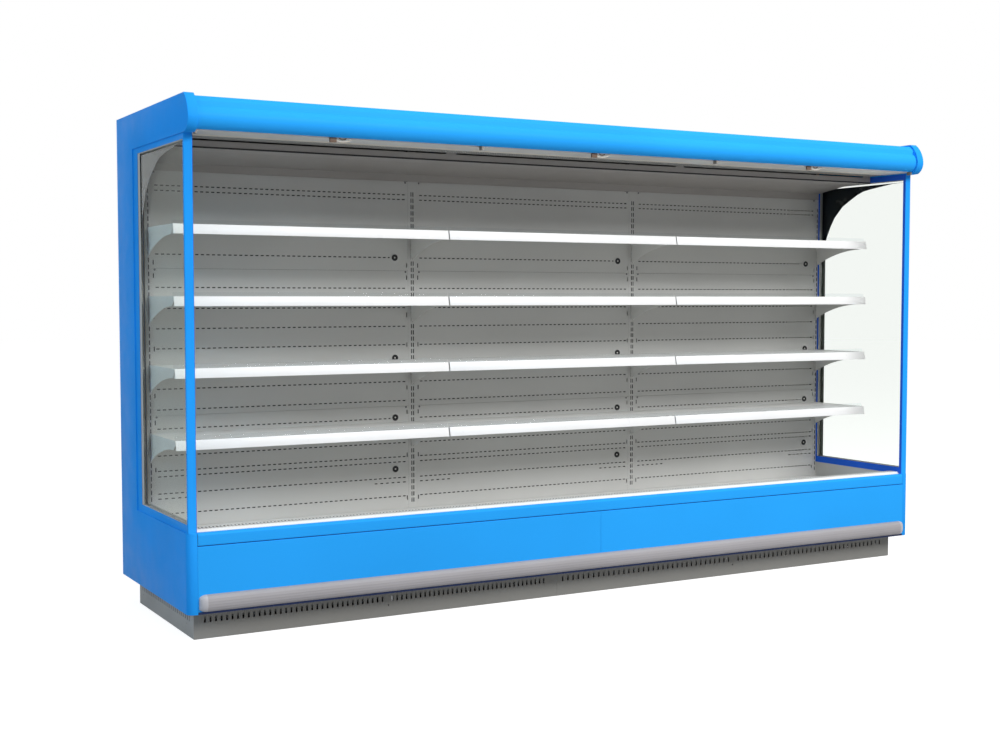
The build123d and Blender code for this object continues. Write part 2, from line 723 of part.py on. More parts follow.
def front_panel(x_range):
    """A pressed front panel, folded back onto the tub at its top and bottom."""
    corners = [
        (TUB_FRONT, BODY_BASE),
        (PANEL_BACK, BODY_BASE),
        (PANEL_BACK, PANEL_TOP),
        (TUB_FRONT, PANEL_TOP),
    ]
    return folded(corners, PANEL_SHEET, Side.RIGHT, x_range)


keep_group(
    [
        front_panel((-INNER_HALF + FIT, -PANEL_SEAM / 2)),
        front_panel((PANEL_SEAM / 2, INNER_HALF - FIT)),
    ],
    "front_panels",
)

sill_corners = [
    (TUB_FRONT, SILL_BOTTOM),
    (PANEL_BACK, SILL_BOTTOM),
    (PANEL_BACK, LOWER_TOP),
    (SILL_BACK, LOWER_TOP),
]
sill_half = INNER_HALF - SILL_END_GAP
keep(
    folded(sill_corners, PANEL_SHEET, Side.RIGHT, (-sill_half, sill_half), (BEND, SILL_ROUNDING)),
    "front_sill",
)

bumper_front = PANEL_BACK - BUMPER_PROUD
bumper_half = INNER_HALF - BUMPER_END_GAP
bumper_rail_half = bumper_half - BUMPER_CAP


def bumper_section():
    """The rounded outer section of the bumper."""
    rectangle_between((bumper_front, BUMPER_BOTTOM), (PANEL_BACK, BUMPER_TOP))


with BuildPart() as bumper_rail:
    with BuildSketch(side_plane(-bumper_rail_half)) as rail_section:
        bumper_section()
        fillet(rail_section.vertices().group_by(Axis.X)[0], BUMPER_ROUNDING)
        offset(amount=-BUMPER_WALL, mode=Mode.SUBTRACT)
    extrude(amount=2 * bumper_rail_half)
keep(bumper_rail.part, "bumper_rail")

with BuildPart() as bumper_cap_right:
    with BuildSketch(side_plane(bumper_rail_half)) as cap_section:
        bumper_section()
        fillet(cap_section.vertices().group_by(Axis.X)[0], BUMPER_ROUNDING)
    extrude(amount=BUMPER_CAP)
    cap_end = bumper_cap_right.faces().sort_by(Axis.X)[-1].edges()
    panel_y = FRONT_Y + PANEL_BACK
    fillet(cap_end.filter_by_position(Axis.Y, panel_y - BUMPER_PROUD, panel_y - FIT), BUMPER_CAP_ROUNDING)
keep_group(both_sides([bumper_cap_right.part]), "bumper_end_caps")

# ======================================================================================
# air intake, deck, fans and evaporator
# ======================================================================================


def bay_range(bay, gap, end_gap=None):
    """The x limits of a piece in this bay, with a gap at divisions and another at the ends."""
    low, high = DIVISION_X[bay], DIVISION_X[bay + 1]
    outer = gap if end_gap is None else end_gap
    return (low + (outer if bay == 0 else gap), high - (outer if bay == BAYS - 1 else gap))


grille_shelf = DECK_TOP - SHEET
grille_corners = [
    (GRILLE_FOOT, TUB_WALL_TOP),
    (GRILLE_FOOT, LOWER_TOP),
    (GRILLE_SHOULDER, GRILLE_TOP),
    (GRILLE_BACK, GRILLE_TOP),
    (GRILLE_BACK, grille_shelf),
    (GRILLE_BACK + GRILLE_SHELF, grille_shelf),
]
keep_group(
    [
        folded(grille_corners, SHEET, Side.RIGHT, bay_range(bay, DECK_BAY_GAP, GRILLE_END_GAP), BEND / 2)
        for bay in range(BAYS)
    ],
    "intake_grilles",
)

deck_front = GRILLE_BACK + BEND / 2 + FIT
keep_group(
    [
        block(bay_range(bay, DECK_BAY_GAP), (deck_front, DECK_BACK), (grille_shelf, DECK_TOP))
        for bay in range(BAYS)
    ],
    "deck_trays",
)


def deck_leg(x, face, away, top):
    """A folded leg on the tub floor; its flanges point away from its face."""
    corners = [
        (face + away * SUPPORT_FLANGE, TUB_FLOOR),
        (face, TUB_FLOOR),
        (face, top),
        (face + away * SUPPORT_FLANGE, top),
    ]
    inside = Side.RIGHT if away > 0 else Side.LEFT
    return folded(corners, SHEET, inside, (x - SUPPORT_WIDTH / 2, x + SUPPORT_WIDTH / 2))


leg_ends = INNER_HALF - SUPPORT_WIDTH / 2 - SILL_END_GAP
leg_x = [max(-leg_ends, min(leg_ends, x)) for x in DIVISION_X]
deck_legs = [deck_leg(x, SUPPORT_FRONT, 1, grille_shelf - SHEET) for x in leg_x]
deck_legs += [deck_leg(x, SUPPORT_BACK, -1, grille_shelf) for x in leg_x]
keep_group(deck_legs, "deck_supports")

with BuildPart() as fan_plate:
    with BuildSketch(side_plane(-INNER_HALF)):
        with BuildLine():
            FilletPolyline(
                (FAN_PLATE + FAN_PLATE_FLANGE, TUB_FLOOR),
                (FAN_PLATE, TUB_FLOOR),
                (FAN_PLATE, grille_shelf),
                (FAN_PLATE + FAN_PLATE_FLANGE, grille_shelf),
                radius=BEND,
            )
            offset(amount=SHEET, side=Side.RIGHT)
        make_face()
    extrude(amount=2 * INNER_HALF)
    with BuildSketch(front_plane(FAN_PLATE + SHEET)):
        with Locations(*[(x, FAN_HEIGHT) for x in BAY_X]):
            Circle(FAN_OPENING_RADIUS)
    extrude(amount=SHEET, mode=Mode.SUBTRACT)
keep(fan_plate.part, "fan_plate")


def fan_guard(x):
    """A flat guard of rings and spokes that carries the motor at its middle."""
    with BuildPart() as made:
        with BuildSketch(front_plane(FAN_PLATE)):
            with Locations((x, FAN_HEIGHT)):
                Circle(GUARD_RADIUS)
                Circle(GUARD_RADIUS - GUARD_RING_WIDTH, mode=Mode.SUBTRACT)
                for ring in GUARD_RINGS:
                    Circle(ring + GUARD_WIRE)
                    Circle(ring, mode=Mode.SUBTRACT)
                Rectangle(GUARD_SPOKE, 2 * GUARD_RADIUS - GUARD_RING_WIDTH)
                Rectangle(2 * GUARD_RADIUS - GUARD_RING_WIDTH, GUARD_SPOKE)
                Circle(MOTOR_RADIUS)
                Circle(FAN_SHAFT_RADIUS + GUARD_SHAFT_GAP, mode=Mode.SUBTRACT)
        extrude(amount=GUARD_THICKNESS)
    return made.part


keep_group([fan_guard(x) for x in BAY_X], "fan_guards")


def fan_motor(x):
    """A round motor on the guard, with a blind bore in which the fan shaft runs."""
    with BuildPart() as made:
        with BuildSketch(front_plane(GUARD_FRONT)):
            with Locations((x, FAN_HEIGHT)):
                Circle(MOTOR_RADIUS)
        extrude(amount=MOTOR_LENGTH)
        fillet(made.faces().sort_by(Axis.Y)[0].edges(), BEND)
        with BuildSketch(front_plane(GUARD_FRONT)):
            with Locations((x, FAN_HEIGHT)):
                Circle(FAN_SHAFT_RADIUS + PIN_CLEARANCE)
        extrude(amount=FAN_SHAFT_ENGAGEMENT + FIT, mode=Mode.SUBTRACT)
    return made.part


keep_group([fan_motor(x) for x in BAY_X], "fan_motors")


def fan_rotor(x):
    """A hub with pitched blades on a shaft that reaches forwards into the motor."""
    hub_back = FAN_HUB_FRONT + FAN_HUB_LENGTH
    blade_plane = Plane(
        origin=(x, FRONT_Y + FAN_HUB_FRONT + FAN_HUB_LENGTH / 2, FAN_HEIGHT),
        x_dir=(1, 0, 0),
        z_dir=(0, -1, 0),
    )
    blade_length = FAN_BLADE_RADIUS - FAN_HUB_RADIUS / 2
    with BuildPart(blade_plane) as made:
        Cylinder(FAN_HUB_RADIUS, FAN_HUB_LENGTH)
        with PolarLocations(FAN_BLADE_RADIUS - blade_length / 2, FAN_BLADES):
            Box(blade_length, FAN_BLADE_CHORD, FAN_BLADE_SHEET, rotation=(FAN_BLADE_PITCH, 0, 0))
        with BuildSketch(front_plane(hub_back)):
            with Locations((x, FAN_HEIGHT)):
                Circle(FAN_SHAFT_RADIUS)
        extrude(amount=hub_back - GUARD_FRONT + FAN_SHAFT_ENGAGEMENT)
    return made.part


for bay, x in enumerate(BAY_X, start=1):
    keep(fan_rotor(x), f"fan_rotor_{bay}")

coil_back = COIL_FRONT + COIL_DEPTH
coil_tube_heights = (COIL_BOTTOM + COIL_ROW_PITCH / 2, COIL_TOP - COIL_ROW_PITCH / 2)
coil_rows = [COIL_FRONT + COIL_ROW_PITCH * (row + 1) for row in range(COIL_ROWS)]
with BuildPart() as evaporator_coil:
    with BuildSketch(side_plane(-COIL_HALF_LENGTH)):
        rectangle_between(
            (COIL_FRONT + COIL_PLATE_MARGIN, COIL_BOTTOM), (coil_back - COIL_PLATE_MARGIN, COIL_TOP)
        )
    extrude(amount=2 * COIL_HALF_LENGTH)
    for plate_x in (-COIL_HALF_LENGTH, COIL_HALF_LENGTH - SHEET):
        with BuildSketch(side_plane(plate_x)):
            rectangle_between((COIL_FRONT, TUB_FLOOR), (coil_back, COIL_PLATE_TOP))
        extrude(amount=SHEET)
    with BuildSketch(side_plane(COIL_HALF_LENGTH)):
        with Locations(*[(row, height) for row in coil_rows for height in coil_tube_heights]):
            Circle(COIL_TUBE_RADIUS)
    extrude(amount=COIL_STUB)
    for row in coil_rows:
        with BuildSketch(side_plane(COIL_HALF_LENGTH + COIL_STUB - 2 * COIL_TUBE_RADIUS)):
            rectangle_between(
                (row - COIL_TUBE_RADIUS, coil_tube_heights[0]),
                (row + COIL_TUBE_RADIUS, coil_tube_heights[1]),
            )
        extrude(amount=2 * COIL_TUBE_RADIUS)
keep(evaporator_coil.part, "evaporator_coil")

# ======================================================================================
# inner walls: slotted uprights, rear panels, light sockets and screws
# ======================================================================================


def slot_heights():
    """The centre heights of one column of slots."""
    return [SLOT_FIRST + SLOT_PITCH * i for i in range(SLOT_COUNT)]


def upright(x_low, x_high, columns):
    """A channel from the tub floor to the roof, with its slot columns in the front face."""
    with BuildPart() as made:
        with BuildSketch(floor_plane(TUB_FLOOR)):
            rectangle_between((x_low, REAR_FACE), (x_high, REAR_FACE + UPRIGHT_DEPTH))
            rectangle_between(
                (x_low + UPRIGHT_SHEET, REAR_FACE + UPRIGHT_SHEET),
                (x_high - UPRIGHT_SHEET, REAR_FACE + UPRIGHT_DEPTH),
                mode=Mode.SUBTRACT,
            )
        extrude(amount=ROOF_UNDERSIDE - TUB_FLOOR)
        with BuildSketch(front_plane(REAR_FACE + UPRIGHT_SHEET)):
            with Locations(*[(x, height) for x in columns for height in slot_heights()]):
                Rectangle(*SLOT_SIZE)
        extrude(amount=UPRIGHT_SHEET, mode=Mode.SUBTRACT)
    return made.part


end_slot = INNER_HALF - END_SLOT_INSET
slot_columns = [(-end_slot,)]
slot_columns += [(x - SLOT_OFFSET, x + SLOT_OFFSET) for x in DIVISION_X[1:-1]]
slot_columns += [(end_slot,)]
upright_limits = [(-INNER_HALF, -INNER_HALF + UPRIGHT_HALF_WIDTH)]
upright_limits += [(x - UPRIGHT_HALF_WIDTH, x + UPRIGHT_HALF_WIDTH) for x in DIVISION_X[1:-1]]
upright_limits += [(INNER_HALF - UPRIGHT_HALF_WIDTH, INNER_HALF)]
keep_group(
    [upright(low, high, columns) for (low, high), columns in zip(upright_limits, slot_columns)],
    "slotted_uprights",
)

rear_heights = (REAR_PANEL_BOTTOM, *REAR_SEAMS, REAR_TOP)


def rear_panel(x_range, low, high):
    """A pressed tray with its returns towards the duct."""
    with BuildPart() as made:
        with BuildSketch(front_plane(REAR_FACE + REAR_FLANGE)):
            rectangle_between((x_range[0], low), (x_range[1], high))
        extrude(amount=REAR_FLANGE)
        with BuildSketch(front_plane(REAR_FACE + REAR_FLANGE)):
            rectangle_between((x_range[0] + SHEET, low + SHEET), (x_range[1] - SHEET, high - SHEET))
        extrude(amount=REAR_FLANGE - SHEET, mode=Mode.SUBTRACT)
    return made.part


for bay in range(BAYS):
    bay_panels = []
    for low, high in zip(rear_heights[:-1], rear_heights[1:]):
        x_range = bay_range(bay, UPRIGHT_HALF_WIDTH + FIT)
        bay_panels.append(rear_panel(x_range, low, high - REAR_SEAM_GAP))
    keep_group(bay_panels, f"rear_panels_bay_{bay + 1}")


def light_socket(x, height):
    """A round plate with a raised ring and a socket in its middle."""
    with BuildPart() as made:
        with BuildSketch(front_plane(REAR_FACE)):
            with Locations((x, height)):
                Circle(SOCKET_PLATE[0])
        extrude(amount=SOCKET_PLATE[1])
        with BuildSketch(front_plane(REAR_FACE)):
            with Locations((x, height)):
                Circle(SOCKET_RING[0])
        extrude(amount=SOCKET_RING[1])
        with BuildSketch(front_plane(REAR_FACE - SOCKET_RING[1] + SOCKET_BORE[1])):
            with Locations((x, height)):
                Circle(SOCKET_BORE[0])
        extrude(amount=SOCKET_BORE[1], mode=Mode.SUBTRACT)
    return made.part


keep_group(
    [light_socket(x - SOCKET_INSET, height) for x in DIVISION_X[1:] for height in SOCKET_HEIGHTS],
    "shelf_light_sockets",
)


def panel_screw(x, height):
    """A low round screw head on the rear panel."""
    with BuildPart() as made:
        with BuildSketch(front_plane(REAR_FACE)):
            with Locations((x, height)):
                Circle(SCREW_HEAD[0])
        extrude(amount=SCREW_HEAD[1])
        fillet(made.faces().sort_by(Axis.Y)[0].edges(), SCREW_HEAD[1] / 2)
    return made.part


screw_x = [x + SCREW_INSET for x in DIVISION_X[:-1]] + [x - SCREW_INSET for x in DIVISION_X[1:]]
keep_group(
    [panel_screw(x, top - SCREW_BELOW_SEAM) for x in screw_x for top in rear_heights[1:]],
    "panel_screws",
)

# ======================================================================================
# shelves, brackets, price rails and front stops
# ======================================================================================


def shelf(x_range, rail):
    """A shelf tray with a deep front fold and side skirts; it lies on its two brackets."""
    top = rail + SHELF_HEIGHT
    with BuildPart() as made:
        with BuildSketch(floor_plane(top - SHEET)):
            rectangle_between((x_range[0], SHELF_FRONT), (x_range[1], SHELF_BACK))
        extrude(amount=SHEET)
        with BuildSketch(floor_plane(rail)):
            rectangle_between((x_range[0], SHELF_FRONT), (x_range[1], SHELF_FRONT + SHEET))
        extrude(amount=SHELF_HEIGHT)
        for x in (x_range[0], x_range[1] - SHEET):
            with BuildSketch(floor_plane(top - SHELF_SKIRT)):
                rectangle_between((x, SHELF_FRONT), (x + SHEET, SHELF_BACK))
            extrude(amount=SHELF_SKIRT)
    return made.part


def shelf_bracket(x, rail):
    """A pressed arm whose two hooks pass through the upright's slots and drop behind them."""
    top = rail + SHELF_HEIGHT - SHEET
    heel = REAR_FACE - FIT
    upper_hook = rail + RAIL_BELOW_HOOK
    with BuildPart() as made:
        with BuildSketch(side_plane(x - ARM_PLATE / 2)):
            with BuildLine():
                Polyline(
                    (heel, rail + ARM_HEEL),
                    (heel, top),
                    (ARM_FRONT, top),
                    (ARM_FRONT, rail + ARM_NOSE_HEIGHT),
                    (ARM_NOSE[0], rail + ARM_NOSE[1]),
                )
                ThreePointArc(
                    (ARM_NOSE[0], rail + ARM_NOSE[1]),
                    (ARM_WAIST[0], rail + ARM_WAIST[1]),
                    (heel, rail + ARM_HEEL),
                )
            make_face()
            for slot_centre in (upper_hook, upper_hook - SECOND_HOOK_SLOTS * SLOT_PITCH):
                seat = slot_centre - SLOT_SIZE[1] / 2
                behind = REAR_FACE + UPRIGHT_SHEET + HOOK_THROAT
                rectangle_between((heel - FIT, seat), (behind + HOOK_REACH, seat + HOOK_HEIGHT))
                rectangle_between((behind, seat - HOOK_DROP), (behind + HOOK_REACH, seat + HOOK_HEIGHT))
        extrude(amount=ARM_PLATE)
    return made.part


def shelf_profile(corners, rail, x_range):
    """A strip along the shelf front, its corners given above the underside of the shelf."""
    return bar_of([(depth, rail + height) for depth, height in corners], x_range)


wall = PRICE_RAIL_WALL
rail_outer = [
    (PRICE_RAIL_FRONT, 0),
    (PRICE_RAIL_TOP_FRONT - wall, SHELF_HEIGHT),
    (PRICE_RAIL_BACK, SHELF_HEIGHT),
    (PRICE_RAIL_BACK, SHELF_HEIGHT - wall),
    (PRICE_RAIL_TOP_FRONT - wall / 2, SHELF_HEIGHT - wall),
    (PRICE_RAIL_FRONT + 2 * wall, wall),
    (PRICE_RAIL_BACK, wall),
    (PRICE_RAIL_BACK, 0),
]
stop_corners = [
    (STOP_FOOT, SHELF_HEIGHT),
    (STOP_FOOT + STOP_THICKNESS, SHELF_HEIGHT),
    (STOP_FOOT + STOP_LEAN + STOP_THICKNESS, SHELF_HEIGHT + STOP_HEIGHT),
    (STOP_FOOT + STOP_LEAN, SHELF_HEIGHT + STOP_HEIGHT),
]

bracket_columns = [column for columns in slot_columns for column in columns]
shelf_ranges = [bay_range(bay, SHELF_BAY_GAP, SHELF_END_INSET) for bay in range(BAYS)]
front_ranges = [bay_range(bay, RAIL_BAY_GAP, SHELF_END_INSET) for bay in range(BAYS)]
for tier, rail in enumerate(RAIL_HEIGHTS, start=1):
    keep_group([shelf(x_range, rail) for x_range in shelf_ranges], f"shelves_tier_{tier}")
keep_group(
    [shelf_bracket(x, rail) for rail in RAIL_HEIGHTS for x in bracket_columns], "shelf_brackets"
)
keep_group(
    [shelf_profile(rail_outer, rail, x_range) for rail in RAIL_HEIGHTS for x_range in front_ranges],
    "price_rails",
)
keep_group(
    [shelf_profile(stop_corners, rail, x_range) for rail in RAIL_HEIGHTS for x_range in front_ranges],
    "shelf_front_stops",
)

# ======================================================================================
# canopy: fascia, soffit, lamps, honeycomb, valance and ceiling
# ======================================================================================


def nose_section(inset):
    """The head of the end wall behind a line, drawn in by an inset."""
    back = FASCIA_BACK + FASCIA_INSET
    below = HEIGHT - NOSE_UNDERSIDE_DROP - NOSE_REACH
    with BuildSketch() as head:
        with BuildLine():
            nose_lines(back, [(-NOSE_LIP[0] + FASCIA_INSET, below), (back, below)])
        make_face()
    return offset(head.sketch, amount=-inset, kind=Kind.INTERSECTION, mode=Mode.PRIVATE)


fascia_half = INNER_HALF - FIT
with BuildPart() as canopy_fascia:
    with BuildSketch(side_plane(-fascia_half)):
        add(nose_section(FASCIA_INSET))
        add(nose_section(FASCIA_INSET + PANEL_SHEET), mode=Mode.SUBTRACT)
        rectangle_between(
            (-FASCIA_LIP_END, HEIGHT - NOSE_UNDERSIDE_DROP - 2 * NOSE_REACH),
            (FASCIA_BACK + FASCIA_INSET, roof_top),
            mode=Mode.SUBTRACT,
        )
    extrude(amount=2 * fascia_half)
keep(canopy_fascia.part, "canopy_fascia")

with BuildPart() as canopy_soffit:
    with BuildSketch(side_plane(-fascia_half)):
        with BuildLine():
            FilletPolyline(
                (SOFFIT_FRONT, SOFFIT_HEIGHT + SOFFIT_HEM),
                (SOFFIT_FRONT, SOFFIT_HEIGHT),
                (ROOF_FRONT, SOFFIT_HEIGHT),
                (ROOF_FRONT, roof_top - BEND),
                radius=BEND,
            )
            offset(amount=SHEET, side=Side.LEFT)
        make_face()
    extrude(amount=2 * fascia_half)
    with BuildSketch(floor_plane(SOFFIT_HEIGHT)):
        for bay in range(BAYS):
            lamp_low, lamp_high = bay_range(bay, LAMP_END_GAP)
            rectangle_between((lamp_low, LAMP_FRONT), (lamp_high, LAMP_BACK))
    extrude(amount=SHEET, mode=Mode.SUBTRACT)
keep(canopy_soffit.part, "canopy_soffit")


def canopy_lamp(bay):
    """A lamp whose lens fills its cut-out and whose flange lies on the soffit."""
    low, high = bay_range(bay, LAMP_END_GAP + FIT)
    with BuildPart() as made:
        with BuildSketch(floor_plane(SOFFIT_HEIGHT)):
            rectangle_between((low, LAMP_FRONT + FIT), (high, LAMP_BACK - FIT))
        extrude(amount=LAMP_HEIGHT)
        with BuildSketch(floor_plane(SOFFIT_HEIGHT + SHEET)):
            rectangle_between(
                (low - LAMP_FLANGE, LAMP_FRONT - LAMP_FLANGE), (high + LAMP_FLANGE, LAMP_BACK + LAMP_FLANGE)
            )
        extrude(amount=SHEET)
    return made.part


keep_group([canopy_lamp(bay) for bay in range(BAYS)], "canopy_lamps")

honeycomb_half = INNER_HALF - HONEYCOMB_END_GAP
keep(
    block(
        (-honeycomb_half, honeycomb_half),
        (ROOF_FRONT, VALANCE_FRONT),
        (SOFFIT_HEIGHT, SOFFIT_HEIGHT + HONEYCOMB_THICKNESS),
    ),
    "discharge_honeycomb",
)

valance_half = INNER_HALF - VALANCE_END_GAP
tab_ends = valance_half - VALANCE_TAB_WIDTH / 2
tab_x = [max(-tab_ends, min(tab_ends, x)) for x in DIVISION_X]
with BuildPart() as air_valance:
    with BuildSketch(side_plane(-valance_half)):
        rectangle_between((VALANCE_FRONT, VALANCE_BOTTOM), (VALANCE_FRONT + SHEET, VALANCE_TOP))
        rectangle_between(
            (VALANCE_FRONT, CEILING_HEIGHT - SHEET), (VALANCE_FRONT + VALANCE_LEDGE, CEILING_HEIGHT)
        )
    extrude(amount=2 * valance_half)
    for x in tab_x:
        with BuildSketch(side_plane(x - VALANCE_TAB_WIDTH / 2)):
            rectangle_between((VALANCE_FRONT, VALANCE_BOTTOM), (VALANCE_FRONT + SHEET, ROOF_UNDERSIDE))
            rectangle_between(
                (VALANCE_FRONT, ROOF_UNDERSIDE - SHEET),
                (VALANCE_FRONT + VALANCE_TAB_FLANGE, ROOF_UNDERSIDE),
            )
        extrude(amount=VALANCE_TAB_WIDTH)
keep(air_valance.part, "air_valance")

ceiling_corners = [
    (CEILING_FRONT, CEILING_HEIGHT),
    (CEILING_BREAK, CEILING_HEIGHT),
    (REAR_FACE - SHEET, CEILING_BACK_HEIGHT),
    (REAR_FACE - SHEET, REAR_TOP),
]
ceiling_half = INNER_HALF - CEILING_END_GAP
keep(folded(ceiling_corners, SHEET, Side.LEFT, (-ceiling_half, ceiling_half), BEND / 2), "ceiling_panel")

# ======================================================================================
# night blinds
# ======================================================================================


def blind_bracket(x_low):
    """A cradle from the soffit to the fascia; the roller pins run in its hole."""
    fascia_under = HEIGHT - FASCIA_INSET - PANEL_SHEET
    slot_back = SOFFIT_FRONT - FIT
    over_hem = SOFFIT_HEIGHT + SOFFIT_HEM + FIT
    behind_hem = SOFFIT_FRONT + BEND + FIT
    top_front = FASCIA_INSET - NOSE_TOP_BACK
    under_lip = HEIGHT - NOSE_TIP_DROP
    with BuildPart() as made:
        with BuildSketch(side_plane(x_low)):
            with BuildLine():
                Polyline(
                    (BRACKET_BACK, SOFFIT_HEIGHT + SHEET),
                    (BRACKET_BACK, fascia_under),
                    (top_front, fascia_under),
                    (BRACKET_FRONT, under_lip),
                    (-FASCIA_LIP_END + FIT, SOFFIT_HEIGHT + SOFFIT_HEM),
                    (-FASCIA_LIP_END + FIT, BRACKET_FOOT),
                    (slot_back, BRACKET_FOOT),
                    (slot_back, over_hem),
                    (behind_hem, over_hem),
                    (behind_hem, SOFFIT_HEIGHT + SHEET),
                    close=True,
                )
            make_face()
            with Locations((ROLL_DEPTH, ROLL_HEIGHT)):
                Circle(ROLL_PIN_RADIUS + PIN_CLEARANCE, mode=Mode.SUBTRACT)
            rectangle_between(
                (LAMP_FRONT - LAMP_FLANGE - FIT, SOFFIT_HEIGHT),
                (BRACKET_BACK, SOFFIT_HEIGHT + LAMP_HEIGHT + FIT),
                mode=Mode.SUBTRACT,
            )
        extrude(amount=2 * BRACKET_HALF_WIDTH)
    return made.part


bracket_ends = INNER_HALF - 2 * BRACKET_HALF_WIDTH
bracket_x = [-INNER_HALF] + [x - BRACKET_HALF_WIDTH for x in DIVISION_X[1:-1]] + [bracket_ends]
keep_group([blind_bracket(x) for x in bracket_x], "blind_brackets")


def along_x(radius, half_length, x, depth, height):
    """A round bar along the cabinet, centred at x."""
    with BuildPart() as made:
        with BuildSketch(side_plane(x - half_length)):
            with Locations((depth, height)):
                Circle(radius)
        extrude(amount=2 * half_length)
    return made.part


roll_half = BAY_WIDTH / 2 - BLIND_END_GAP
pin_half = BAY_WIDTH / 2 - ROLL_PIN_END_GAP
bar_half = BAY_WIDTH / 2 - BAR_END_GAP
bar_bottom = BAR_HEIGHT - BAR_RADIUS


def handle_loop(x):
    """A D-shaped loop of round wire that hangs from the bar."""
    left, right = x - HANDLE_WIDTH / 2 + HANDLE_WIRE_RADIUS, x + HANDLE_WIDTH / 2 - HANDLE_WIRE_RADIUS
    low = bar_bottom - HANDLE_DROP + HANDLE_WIRE_RADIUS
    y = FRONT_Y + BLIND_PLANE
    with BuildPart() as made:
        with BuildLine() as route:
            FilletPolyline(
                (left, y, BAR_HEIGHT),
                (left, y, low),
                (right, y, low),
                (right, y, BAR_HEIGHT),
                radius=HANDLE_CORNER,
            )
        with BuildSketch(floor_plane(BAR_HEIGHT)):
            with Locations((left, BLIND_PLANE)):
                Circle(HANDLE_WIRE_RADIUS)
        sweep(path=route.line)
    return made.part


def bar_with_sockets(x):
    """The blind's bottom bar, with the two holes that hold the loop."""
    with BuildPart() as made:
        add(along_x(BAR_RADIUS, bar_half, x, BLIND_PLANE, BAR_HEIGHT))
        add(
            along_x(BAR_RADIUS - BAR_WALL, bar_half, x, BLIND_PLANE, BAR_HEIGHT), mode=Mode.SUBTRACT
        )
        with BuildSketch(floor_plane(bar_bottom - BAR_RADIUS)):
            for side in (-1, 1):
                with Locations((x + side * (HANDLE_WIDTH / 2 - HANDLE_WIRE_RADIUS), BLIND_PLANE)):
                    Circle(HANDLE_WIRE_RADIUS + PIN_CLEARANCE)
        extrude(amount=2 * BAR_RADIUS, mode=Mode.SUBTRACT)
    return made.part


def handle_catch(x):
    """The catch block beside the loop, hooked over the underside of the bar."""
    left = x - HANDLE_WIDTH / 2 - CATCH_WIDTH
    back = BLIND_PLANE + CATCH_THICKNESS / 2
    front = BLIND_PLANE - CATCH_THICKNESS / 2
    with BuildPart() as made:
        with BuildSketch(front_plane(back)):
            rectangle_between((left, bar_bottom - CATCH_HEIGHT), (left + CATCH_WIDTH - FIT, BAR_HEIGHT))
        extrude(amount=back - front)
        add(along_x(BAR_RADIUS, bar_half, x, BLIND_PLANE, BAR_HEIGHT), mode=Mode.SUBTRACT)
    return made.part


for bay, x in enumerate(BAY_X, start=1):
    with BuildPart() as blind_roller:
        for radius, half in (
            (ROLL_RADIUS, roll_half),
            (ROLL_TUBE_RADIUS, roll_half + ROLL_TUBE_EXTRA),
            (ROLL_PIN_RADIUS, pin_half),
        ):
            add(along_x(radius, half, x, ROLL_DEPTH, ROLL_HEIGHT))
    keep(blind_roller.part, f"blind_roller_{bay}")
    keep_group([bar_with_sockets(x), handle_loop(x), handle_catch(x)], f"blind_bar_{bay}")
    cloth_depths = (BLIND_PLANE - BLIND_CLOTH / 2, BLIND_PLANE + BLIND_CLOTH / 2)
    cloth_heights = (BAR_HEIGHT + BAR_RADIUS + FIT / 2, ROLL_HEIGHT)
    keep(block((x - roll_half, x + roll_half), cloth_depths, cloth_heights), f"blind_fabric_{bay}")

# ======================================================================================
# electrical box on the roof, behind the canopy
# ======================================================================================

box_x = (BOX_X, BOX_X + BOX_LENGTH)
box_depth = (BOX_FRONT, BOX_FRONT + BOX_DEPTH)
box_top = roof_top + BOX_HEIGHT
switch_height = roof_top + BOX_HEIGHT / 2
switch_well = (SWITCH_WIDTH + 2 * SWITCH_GAP, SWITCH_HEIGHT + 2 * SWITCH_END_GAP)
bezel_front = BOX_FRONT - SWITCH_BEZEL_DEPTH / 2
pin_depth = bezel_front + SWITCH_PIN_DEPTH
with BuildPart() as electrical_box:
    add(block(box_x, box_depth, (roof_top, box_top)))
    with BuildSketch(floor_plane(roof_top + BOX_WALL)):
        rectangle_between(
            (box_x[0] + BOX_WALL, box_depth[0] + BOX_WALL), (box_x[1] - BOX_WALL, box_depth[1] - BOX_WALL)
        )
    extrude(amount=BOX_HEIGHT, mode=Mode.SUBTRACT)
    with BuildSketch(front_plane(bezel_front + SWITCH_BEZEL_DEPTH)):
        with Locations((SWITCH_X, switch_height)):
            Rectangle(switch_well[0] + 2 * SWITCH_BEZEL, switch_well[1] + 2 * SWITCH_BEZEL)
    extrude(amount=SWITCH_BEZEL_DEPTH)
    with BuildSketch(front_plane(bezel_front + SWITCH_BEZEL_DEPTH)):
        with Locations((SWITCH_X, switch_height)):
            Rectangle(*switch_well)
    extrude(amount=SWITCH_BEZEL_DEPTH, mode=Mode.SUBTRACT)
    with BuildSketch(side_plane(SWITCH_X - switch_well[0] / 2 - SWITCH_PIN_LENGTH - FIT)):
        with Locations((pin_depth, switch_height)):
            Circle(SWITCH_PIN_RADIUS + PIN_CLEARANCE)
    extrude(amount=switch_well[0] + 2 * SWITCH_PIN_LENGTH + 2 * FIT, mode=Mode.SUBTRACT)
    with BuildSketch(front_plane(box_depth[1] + GLAND_LENGTH)):
        with Locations((SWITCH_X, switch_height)):
            Circle(GLAND_RADIUS)
    extrude(amount=GLAND_LENGTH)
    with BuildSketch(front_plane(box_depth[1] + GLAND_LENGTH)):
        with Locations((SWITCH_X, switch_height)):
            Circle(GLAND_BORE_RADIUS)
    extrude(amount=GLAND_LENGTH + BOX_WALL, mode=Mode.SUBTRACT)
keep(electrical_box.part, "electrical_box")
keep(block(box_x, box_depth, (box_top, box_top + BOX_LID)), "electrical_box_lid")

